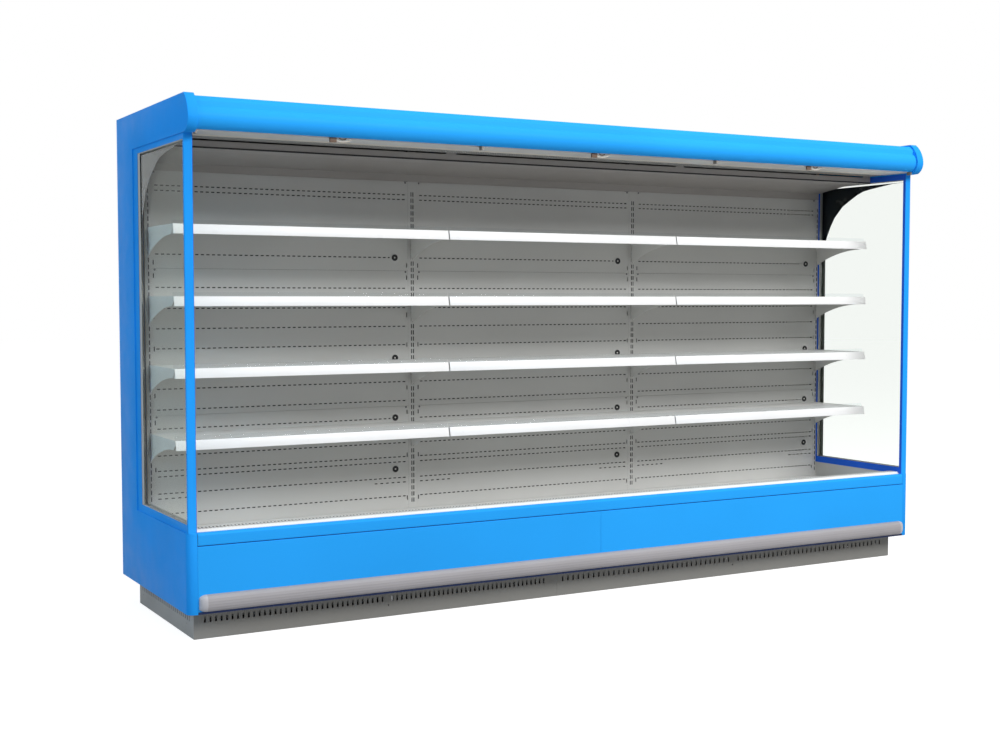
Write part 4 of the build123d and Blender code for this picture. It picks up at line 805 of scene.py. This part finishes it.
inside = CELL_RADIUS - CELL_WALL
corners = ((CELL_RADIUS, 0), (CELL_RADIUS, CELL_HEIGHT), (inside, CELL_HEIGHT), (inside, 0))
cell = lofted([six_corners(reach, level) for reach, level in corners], endless=True)
cell = keep_mesh(cell, "cell", finishes["honeycomb"])
across = CELL_RADIUS * math.sqrt(3)
rows = []
count = int((HONEYCOMB_WIDTH - 2 * CELL_RADIUS) / (1.5 * CELL_RADIUS)) + 1
for row in range(count):
    shift = across / 2 if row % 2 else 0
    depth = HONEYCOMB_FRONT + CELL_RADIUS + 0.3 + row * 1.5 * CELL_RADIUS
    rows.append([place(x + shift, depth, HONEYCOMB_FOOT) for x in HONEYCOMB_X])
honeycomb = in_rows.grow(
    lines_between(rows),
    "honeycomb_cells",
    Piece=cell,
    Pitch=across / 1000,
    Finish=finishes["honeycomb"],
)
bpy.data.objects.remove(cell)
stand_for(honeycomb, "discharge_honeycomb")

# ===== end glazing: panes, spacer and black print =====

PANE_X = ((1902.0, 1906.0), (1886.0, 1890.0))
SPACER_X = (1890.0, 1902.0)
SPACER_WIDTHS = (3.0, 12.0, 3.0, 3.0)  # at the front, the rear, the foot and the head
PRINT_INSET = 12.3
PRINT_LEAST = 0.5  # the print is at least this high at its front edge
PRINT_X = (1901.55, 1901.95)
BORDER_X = (1906.03, 1906.33)
BORDER_WIDTHS = (4.0, 34.0, 4.0, 4.0)
PRINT_ARC = [
    (28, 1954), (119, 1945), (190, 1937), (278, 1927), (330, 1919), (374, 1904), (434, 1875),
    (488, 1846), (549, 1789), (580, 1741), (610, 1682), (622, 1640), (630, 1590),
]


def edge_ring(x_range, depths, heights, widths):
    """A flat bar round the edge of a pane; its widths are front, rear, foot and head."""
    loops = []
    for front, rear, foot, head in ((0, 0, 0, 0), widths):
        for x in x_range:
            near, far = depths[0] + front, depths[1] - rear
            low, high = heights[0] + foot, heights[1] - head
            corners = ((near, low), (far, low), (far, high), (near, high))
            loops.append([place(x, *corner) for corner in corners])
    outer_a, outer_b, inner_a, inner_b = loops
    return lofted([outer_a, outer_b, inner_b, inner_a], endless=True)


def glazing(side, name):
    """The two panes, the spacer between them, the print and the border strip."""
    node = f"end_glass_{name}"
    low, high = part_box(node)
    depths = [(y - POST_PLANE) * 1000 for y in (low.y, high.y)]
    heights = [z * 1000 for z in (low.z, high.z)]

    def on_side(x_range):
        return [side * x for x in x_range]

    panes = slab(on_side(PANE_X[0]), depths, heights)
    join_in(panes, slab(on_side(PANE_X[1]), depths, heights))
    panes = keep_mesh(panes, f"end_panes_{name}", finishes["glass"])
    spacer = keep_mesh(
        edge_ring(on_side(SPACER_X), depths, heights, SPACER_WIDTHS),
        f"pane_spacer_{name}",
        spacer_grey,
    )
    soften(spacer, 0.5)
    inner_depths = (depths[0] + PRINT_INSET, depths[1] - PRINT_INSET)
    top = heights[1] - PRINT_INSET
    corner = [(inner_depths[1], PRINT_ARC[-1][1]), (inner_depths[1], top), (inner_depths[0], top)]
    arc = [(max(depth, inner_depths[0]), min(height, top)) for depth, height in PRINT_ARC]
    arc[0] = (arc[0][0], min(arc[0][1], top - PRINT_LEAST))
    layers = [[place(x, *point) for point in arc + corner] for x in on_side(PRINT_X)]
    printed = keep_mesh(lofted(layers), f"glass_print_{name}", glass_print)
    border = keep_mesh(
        edge_ring(on_side(BORDER_X), depths, heights, BORDER_WIDTHS),
        f"pane_border_{name}",
        border_grey,
    )
    stand_for(panes, node)
    for made in (spacer, printed, border):
        stand_for(made, node)


glazing(-1, "left")
glazing(1, "right")

# ===== rounded copies of the visible housings =====

for node, name, width in (
    ("end_wall_left", "end_wall_shell_left", 1.2),
    ("end_wall_right", "end_wall_shell_right", 1.2),
    ("canopy_fascia", "canopy_fascia_sheet", 0),
    ("front_sill", "front_sill_sheet", 0),
    ("price_rails", "price_rail_strips", 0.4),
):
    copy = soften(keep_mesh(merged(node), name, finishes[slot_of[node]]), width)
    stand_for(copy, node)

BUMPER_FULLNESS = 2.3
BUMPER_STEPS = 22


def bumper_outline(low, high, front, back):
    """The bumper's bulging outline from its lower to its upper edge, as (depth, height)."""
    middle, half = (low + high) / 2, (high - low) / 2
    points = []
    for step in range(BUMPER_STEPS + 1):
        share = -math.cos(math.pi * step / BUMPER_STEPS)
        bulge = (1 - abs(share) ** BUMPER_FULLNESS) ** (1 / BUMPER_FULLNESS)
        points.append((back + (front - back) * bulge, middle + half * share))
    return points


BUMPER_WALL = 3.0
bumper_low, bumper_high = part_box("bumper_rail")
bumper_front, bumper_back = [(y - POST_PLANE) * 1000 for y in (bumper_low.y, bumper_high.y)]
bumper_heights = (bumper_low.z * 1000, bumper_high.z * 1000)
outline = bumper_outline(*bumper_heights, bumper_front, bumper_back)
walls = (bumper_heights[0] + BUMPER_WALL, bumper_heights[1] - BUMPER_WALL)
inner = bumper_outline(*walls, bumper_front, bumper_back)
inner = [(min(depth + BUMPER_WALL, bumper_back), height) for depth, height in inner]
section = outline + inner[::-1]
ends = [[place(x * 1000, *corner) for corner in section] for x in (bumper_low.x, bumper_high.x)]
rail = keep_mesh(lofted(ends), "bumper_rail_vinyl", finishes["bumper_grey"])
soften(rail, 0, angle=40)
stand_for(rail, "bumper_rail")
cap_low, cap_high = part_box("bumper_end_caps")
CAP_ROUNDS = 10
CAP_LEAST = 0.02  # the tip keeps this share of the section
CAP_HEIGHT_KEPT = 0.55
middle = sum(bumper_heights) / 2
for side, inner_x, outer_x in (
    ("left", bumper_low.x * 1000, cap_low.x * 1000),
    ("right", bumper_high.x * 1000, cap_high.x * 1000),
):
    sections = []
    for step in range(CAP_ROUNDS + 1):
        angle = math.pi / 2 * step / CAP_ROUNDS
        reach = inner_x + (outer_x - inner_x) * math.sin(angle)
        keep = max(math.cos(angle), CAP_LEAST)
        rounded = CAP_HEIGHT_KEPT + (1 - CAP_HEIGHT_KEPT) * keep
        round_off = [
            (bumper_back + (depth - bumper_back) * keep, middle + (height - middle) * rounded)
            for depth, height in outline
        ]
        sections.append([place(reach, *corner) for corner in round_off])
    cap = keep_mesh(lofted(sections), f"bumper_cap_{side}", bumper_cap_highlit)
    soften(cap, 0, angle=50)
    stand_for(cap, "bumper_end_caps")

# The inner frames' returns into the window and their hidden backs are gaskets.
FRAME_PLATE_X = 1.8752
two_finishes(
    "end_inner_frames",
    "inner_frame_sheets",
    gasket_grey,
    lambda middle, normal: abs(middle.x) > FRAME_PLATE_X
    or (normal.x * middle.x > 0 and abs(normal.x) > 0.9),
)

# The front panels' lower hem, under the bumper, is dark navy as painted shade from the bumper.
HEM_HEIGHT = 128.5
two_finishes(
    "front_panels",
    "front_panel_sheets",
    hem_painted_shade,
    lambda middle, normal: middle.z < HEM_HEIGHT / 1000,
    cuts=[(place(0, 0, HEM_HEIGHT), (0, 0, 1))],
)

# The uprights' slot edges and all behind their front sheet are near-black painted shade, with a
# near-black sheet set behind as the shaded channel the slots look into.
SLOT_REACH = 9.0
UPRIGHT_SHEET = 1.9
CHANNEL_HALF_WIDTH = 18.0
CHANNEL_END = 1873.0
CHANNEL_DEPTHS = (REAR_FACE + 36, REAR_FACE + 38)
CHANNEL_HEIGHTS = (470, 1880)


def upright_painted_shade(middle, normal):
    """The slots' edges and all that lies behind the upright's front sheet, which take the
    near-black painted shade.
    """
    near = min(abs(middle.x * 1000 - division) for division in DIVISIONS)
    slot_edge = abs(normal.y) < 0.5 and near < SLOT_REACH
    return slot_edge or middle.y > POST_PLANE + (REAR_FACE + UPRIGHT_SHEET) / 1000


two_finishes(
    "slotted_uprights",
    "slotted_upright_channels",
    slot_shade_black,
    upright_painted_shade,
    added=[
        slab(
            (max(x - CHANNEL_HALF_WIDTH, -CHANNEL_END), min(x + CHANNEL_HALF_WIDTH, CHANNEL_END)),
            CHANNEL_DEPTHS,
            CHANNEL_HEIGHTS,
        )
        for x in DIVISIONS
    ],
)

# A black strip along the foot of the valance is painted shade for the gap under it.
GAP_SHADE_SIZE = (1.6, 7.0)
valance_low, valance_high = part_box("air_valance")
gap_shade_depth = (valance_low.y - POST_PLANE) * 1000
gap_shade_strip = keep_mesh(
    slab(
        (valance_low.x * 1000, valance_high.x * 1000),
        (gap_shade_depth - GAP_SHADE_SIZE[0] - 0.1, gap_shade_depth - 0.1),
        (valance_low.z * 1000, valance_low.z * 1000 + GAP_SHADE_SIZE[1]),
    ),
    "valance_seal",
    finishes["socket_black"],
)
soften(gap_shade_strip, 0.5)
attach(gap_shade_strip, "cabinet")

# The wall cores show blue where they stand round the canopy, and grey inside the cabinet.
LINING_TOP = 1985
two_finishes(
    "end_wall_cores",
    "end_wall_linings",
    finishes["blue_moulding"],
    lambda middle, normal: middle.z > LINING_TOP / 1000 or middle.y < POST_PLANE,
    cuts=[(place(0, 0, LINING_TOP), (0, 0, 1)), (place(0, 0, 0), (0, 1, 0))],
)


def spread_out(profile_piece, name, finish, node, points):
    """Sets one turned piece at each point and has them stand for their node."""
    piece = keep_mesh(profile_piece, name + "_one", finish)
    spots = bmesh.new()
    for point in points:
        spots.verts.new(point)
    made = at_points.grow(spots, name, Piece=piece, Finish=finish)
    bpy.data.objects.remove(piece)
    soften(made, 0, angle=40)
    stand_for(made, node)


def front_centres(node):
    """The middle of each solid's front face."""
    return [
        Vector(((low.x + high.x) / 2, low.y, (low.z + high.z) / 2))
        for low, high in solid_boxes(node)
    ]


# Light sockets: a pressed plate, a black ring round the bore and a sprung contact in it.
# Lengths along the axis count from the ring's front face towards the wall.
socket_spots = front_centres("shelf_light_sockets")
spread_out(
    turned([(15.2, 4.0), (15.2, 2.9), (23.6, 2.8), (24.6, 3.1), (25.0, 4.0)], 40),
    "socket_plates", plate_grey, "shelf_light_sockets", socket_spots,
)
spread_out(
    turned(
        [(0, 4.0), (15.0, 4.0), (15.0, 0.7), (14.4, 0.1), (13.6, 0.0), (11.4, 0.0), (10.6, 0.5),
         (10.5, 3.0), (0, 3.0)],
        40,
    ),
    "socket_rings", finishes["socket_black"], "shelf_light_sockets", socket_spots,
)
spread_out(
    turned([(0, 3.0), (3.6, 3.0), (3.6, 1.3), (2.9, 0.7), (0, 0.5)], 20),
    "socket_contacts", contact_white, "shelf_light_sockets", socket_spots,
)

# Panel screws: pan heads with a cross recess.
head = keep_mesh(
    turned([(0, 2.2), (4.5, 2.2), (4.4, 1.4), (3.7, 0.6), (2.4, 0.12), (0, 0.0)], 24),
    "screw_head",
    screw_steel,
)
RECESS_HALVES = ((2.3, 0.45), (0.45, 2.3))
recess = bmesh.new()
for half_x, half_z in RECESS_HALVES:
    join_in(
        recess,
        block(Vector((-half_x, -0.9, -half_z)) / 1000, Vector((half_x, 1.1, half_z)) / 1000),
    )
cut_from(head, recess)
screw = bmesh.new()
screw.from_mesh(head.data)
bpy.data.objects.remove(head)
spread_out(screw, "panel_screw_heads", screw_steel, "panel_screws", front_centres("panel_screws"))

# ===== night blinds =====

BAR_HEIGHT = 2000.0
BLIND_PLANE = -27.5
BAR_LEAST, CATCH_MOST = 0.5, 0.05  # lengths in metres that tell a bar's solids apart
BOW_HALF_WIDTH = 44.0
BOW_SHIFT = -12.0  # towards the catch
BOW_RAISE = 9.0
BOW_WIRE = 2.3
BOW_STEPS, BOW_SIDES = 28, 10
HOOK_HALF_WIDTH = 18.0
HOOK_RISE = 9.0  # the small brown hook inside the bow ends this far above it


def handle_bow(x, lowest, half_width):
    """A bowed wire loop whose ends stand in the bottom bar."""
    drop = BAR_HEIGHT - lowest - BOW_WIRE
    rings = []
    for step in range(BOW_STEPS + 1):
        angle = math.pi * step / BOW_STEPS
        centre = Vector((x - half_width * math.cos(angle), BAR_HEIGHT - drop * math.sin(angle)))
        along = Vector((half_width * math.sin(angle), -drop * math.cos(angle))).normalized()
        out = Vector((along.y, -along.x))
        ring = []
        for i in range(BOW_SIDES):
            turn = 2 * math.pi * i / BOW_SIDES
            flat = centre + out * (BOW_WIRE * math.cos(turn))
            ring.append(place(flat.x, BLIND_PLANE + BOW_WIRE * math.sin(turn), flat.y))
        rings.append(ring)
    return lofted(rings)


ROLL_TUBE = 17.0
ROLL_PIN = 4.0
ROLL_TUBE_EXTRA = 13.0
PIN_CHAMFER = 0.6
TUBE_CHAMFER = 1.0
CLOTH_PITCH = 0.5
CLOTH_THICKNESS = 0.36
CLOTH_START = 0.05  # between the tube and the first turn
STEPS_A_TURN = 40
STRIP_THICKNESS = 0.4
STRIP_STEPS = 48


def roll_axis(node):
    """The middle of a roller's axis, its full radius and its ends."""
    low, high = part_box(node)
    return (low.y + high.y) / 2, (low.z + high.z) / 2, (high.z - low.z) / 2, low.x, high.x


def wound_turns(node):
    """How many turns of cloth the full roll holds."""
    return (roll_axis(node)[2] * 1000 - ROLL_TUBE) / CLOTH_PITCH - 1


def wound_cloth(node):
    """The cloth on the roller: one long spiral from the tube to the full roll."""
    y, z = roll_axis(node)[:2]
    start, end = [corner.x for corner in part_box(node.replace("roller", "fabric"))]
    turns = wound_turns(node)
    steps = int(turns * STEPS_A_TURN)
    rings = []
    for step in range(steps + 1):
        angle = 2 * math.pi * turns * step / steps
        radius = ROLL_TUBE + CLOTH_START + CLOTH_PITCH * angle / (2 * math.pi)
        out = Vector((0, math.cos(angle), math.sin(angle))) / 1000
        under, over = out * radius, out * (radius + CLOTH_THICKNESS)
        corners = ((start, under), (end, under), (end, over), (start, over))
        rings.append([Vector((x, y, z)) + reach for x, reach in corners])
    return lofted(rings)


def roller_core(node):
    """The tube under the cloth with its end plugs and pins."""
    y, z, _, start, end = roll_axis(node)
    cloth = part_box(node.replace("roller", "fabric"))
    tube_start = cloth[0].x - ROLL_TUBE_EXTRA / 1000
    tube_end = cloth[1].x + ROLL_TUBE_EXTRA / 1000
    outline = [
        (0, start),
        (ROLL_PIN - PIN_CHAMFER, start),
        (ROLL_PIN, start + PIN_CHAMFER / 1000),
        (ROLL_PIN, tube_start),
        (ROLL_TUBE - TUBE_CHAMFER, tube_start),
        (ROLL_TUBE, tube_start + TUBE_CHAMFER / 1000),
        (ROLL_TUBE, tube_end - TUBE_CHAMFER / 1000),
        (ROLL_TUBE - TUBE_CHAMFER, tube_end),
        (ROLL_PIN, tube_end),
        (ROLL_PIN, end - PIN_CHAMFER / 1000),
        (ROLL_PIN - PIN_CHAMFER, end),
        (0, end),
    ]
    shape = turned([(radius, along * 1000) for radius, along in outline], 32)
    for vertex in shape.verts:
        across, along, up = vertex.co
        vertex.co = Vector((along, y + across, z + up))
    bmesh.ops.recalc_face_normals(shape, faces=shape.faces)
    return shape


for bay, x in enumerate(BAYS, start=1):
    node, body = f"blind_bar_{bay}", f"blind_{bay}"
    tube = keep_mesh(
        island_only(node, lambda low, high: high.x - low.x > BAR_LEAST),
        f"blind_bar_tube_{bay}",
        finishes["bar_aluminium"],
    )
    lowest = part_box(node)[0].z * 1000 + BOW_RAISE
    x += BOW_SHIFT
    loop = keep_mesh(handle_bow(x, lowest, BOW_HALF_WIDTH), f"blind_handle_{bay}", handle_wire)
    hook = keep_mesh(
        handle_bow(x, lowest + HOOK_RISE, HOOK_HALF_WIDTH), f"blind_hook_{bay}", catch_brown
    )
    catch = island_only(node, lambda low, high: high.x - low.x < CATCH_MOST)
    catch = keep_mesh(catch, f"blind_catch_{bay}", catch_brown)
    soften(tube, 0)
    soften(loop, 0)
    soften(hook, 0)
    soften(catch, 0.8)
    stand_for(tube, node, body)
    for made in (loop, hook, catch):
        stand_for(made, node, body=body)

    roller = f"blind_roller_{bay}"
    wound = keep_mesh(wound_cloth(roller), f"wound_cloth_{bay}", finishes["blind_cloth"])
    soften(wound, 0, angle=50)
    core = keep_mesh(roller_core(roller), f"roller_core_{bay}", finishes["roller"])
    soften(core, 0, angle=50)
    stand_for(wound, roller, f"roller_{bay}")
    stand_for(core, roller, f"roller_{bay}")
    low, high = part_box(f"blind_fabric_{bay}")

    shape = bmesh.new()
    middle = (low.y + high.y) / 2
    levels = []
    for step in range(STRIP_STEPS + 1):
        z = low.z + (high.z - low.z) * step / STRIP_STEPS
        levels.append([shape.verts.new((edge, middle, z)) for edge in (low.x, high.x)])
    for below, above in zip(levels, levels[1:]):
        shape.faces.new((below[0], below[1], above[1], above[0]))
    strip = keep_mesh(shape, f"hanging_cloth_{bay}", finishes["blind_cloth"])
    thick = strip.modifiers.new("cloth", "SOLIDIFY")
    thick.thickness = STRIP_THICKNESS / 1000
    thick.offset = 0
    settled(strip)
    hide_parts(f"blind_fabric_{bay}")
    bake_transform(strip)

# ===== stage, light and camera =====


def seen_rays(tree):
    """One where the eye sees the place, straight or in metal and glass; it lights nothing."""
    path = tree.nodes.new("ShaderNodeLightPath").outputs
    rays = path["Is Camera Ray"]
    for title in ("Is Glossy Ray", "Is Transmission Ray"):
        rays = maths(tree, "MAXIMUM", rays, path[title])
    return maths(tree, "MULTIPLY", rays, maths(tree, "LESS_THAN", path["Diffuse Depth"], 0.5))


AMBIENT = 0.28
FLOOR_LIFT = 0.89
FLOOR_TONE = 0.4
FLOOR_RADIUS = 40
WHITE = (1.0, 1.0, 1.0, 1.0)

world = bpy.data.worlds.new("studio")
bpy.context.scene.world = world
world.use_nodes = True
sky = world.node_tree
ambient = sky.nodes["Background"]
ambient.inputs["Color"].default_value = WHITE
ambient.inputs["Strength"].default_value = AMBIENT
backdrop = sky.nodes.new("ShaderNodeBackground")
backdrop.inputs["Color"].default_value = WHITE
backdrop.inputs["Strength"].default_value = 1.0
choose = sky.nodes.new("ShaderNodeMixShader")
sky.links.new(seen_rays(sky), choose.inputs[0])
sky.links.new(ambient.outputs[0], choose.inputs[1])
sky.links.new(backdrop.outputs[0], choose.inputs[2])
sky.links.new(choose.outputs[0], sky.nodes["World Output"].inputs["Surface"])

shape = bmesh.new()
bmesh.ops.create_circle(shape, cap_ends=True, segments=96, radius=FLOOR_RADIUS)
floor_paint = bpy.data.materials.new("studio floor")
floor_paint.use_nodes = True
tree = floor_paint.node_tree
matt = tree.nodes["Principled BSDF"]
matt.inputs["Base Color"].default_value = (FLOOR_TONE, FLOOR_TONE, FLOOR_TONE, 1.0)
matt.inputs["Roughness"].default_value = 0.9
matt.inputs["Specular IOR Level"].default_value = 0.0
lift = tree.nodes.new("ShaderNodeEmission")
spot = tree.nodes.new("ShaderNodeSeparateXYZ")
tree.links.new(tree.nodes.new("ShaderNodeTexCoord").outputs["Object"], spot.inputs[0])
# The floor under the base frame isn't lifted, so that the kick plates' slots are dark.
base_low, base_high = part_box("base_frame")
covered = [
    maths(tree, "COMPARE", spot.outputs[axis], (low + high) / 2, (high - low) / 2)
    for axis, low, high in (("X", base_low.x, base_high.x), ("Y", base_low.y, base_high.y))
]
open_floor = maths(tree, "SUBTRACT", 1.0, maths(tree, "MULTIPLY", *covered))
lifted = maths(tree, "MULTIPLY", seen_rays(tree), open_floor)
tree.links.new(maths(tree, "MULTIPLY", lifted, FLOOR_LIFT), lift.inputs["Strength"])
both = tree.nodes.new("ShaderNodeAddShader")
tree.links.new(matt.outputs[0], both.inputs[0])
tree.links.new(lift.outputs[0], both.inputs[1])
tree.links.new(both.outputs[0], tree.nodes["Material Output"].inputs["Surface"])
floor = keep_mesh(shape, "studio_floor", floor_paint)


def soft_lamp(name, where, towards, size, watts, colour=(1.0, 1.0, 1.0)):
    """A large soft lamp aimed at a point."""
    light = bpy.data.lights.new(name, "AREA")
    light.shape = "RECTANGLE"
    light.size, light.size_y = size
    light.energy = watts
    light.color = colour
    lamp = bpy.data.objects.new(name, light)
    bpy.context.scene.collection.objects.link(lamp)
    lamp.location = where
    lamp.rotation_euler = (Vector(towards) - Vector(where)).to_track_quat("-Z", "Y").to_euler()


soft_lamp("front lamp", (2.5, -8.0, 6.6), (0.0, 0.0, 0.9), (6.0, 3.5), 810)
soft_lamp("side lamp", (-8.5, -2.0, 3.6), (0.0, 0.0, 1.0), (4.0, 3.0), 195, (0.5, 0.75, 1.0))
soft_lamp("top lamp", (0.5, -2.0, 7.5), (0.0, 0.0, 1.0), (7.0, 4.0), 120)

view = bpy.data.cameras.new("photo view")
view.sensor_width = 36.0
view.lens = 50.871
view.clip_end = 200
camera = bpy.data.objects.new("photo view", view)
bpy.context.scene.collection.objects.link(camera)
camera.location = (-3.535, -5.7643, 1.351)
camera.rotation_euler = (math.radians(90 - 3.121), 0.0, math.radians(-29.524))
bpy.context.scene.camera = camera
bpy.context.scene.view_settings.view_transform = "Standard"

bpy.context.view_layer.update()
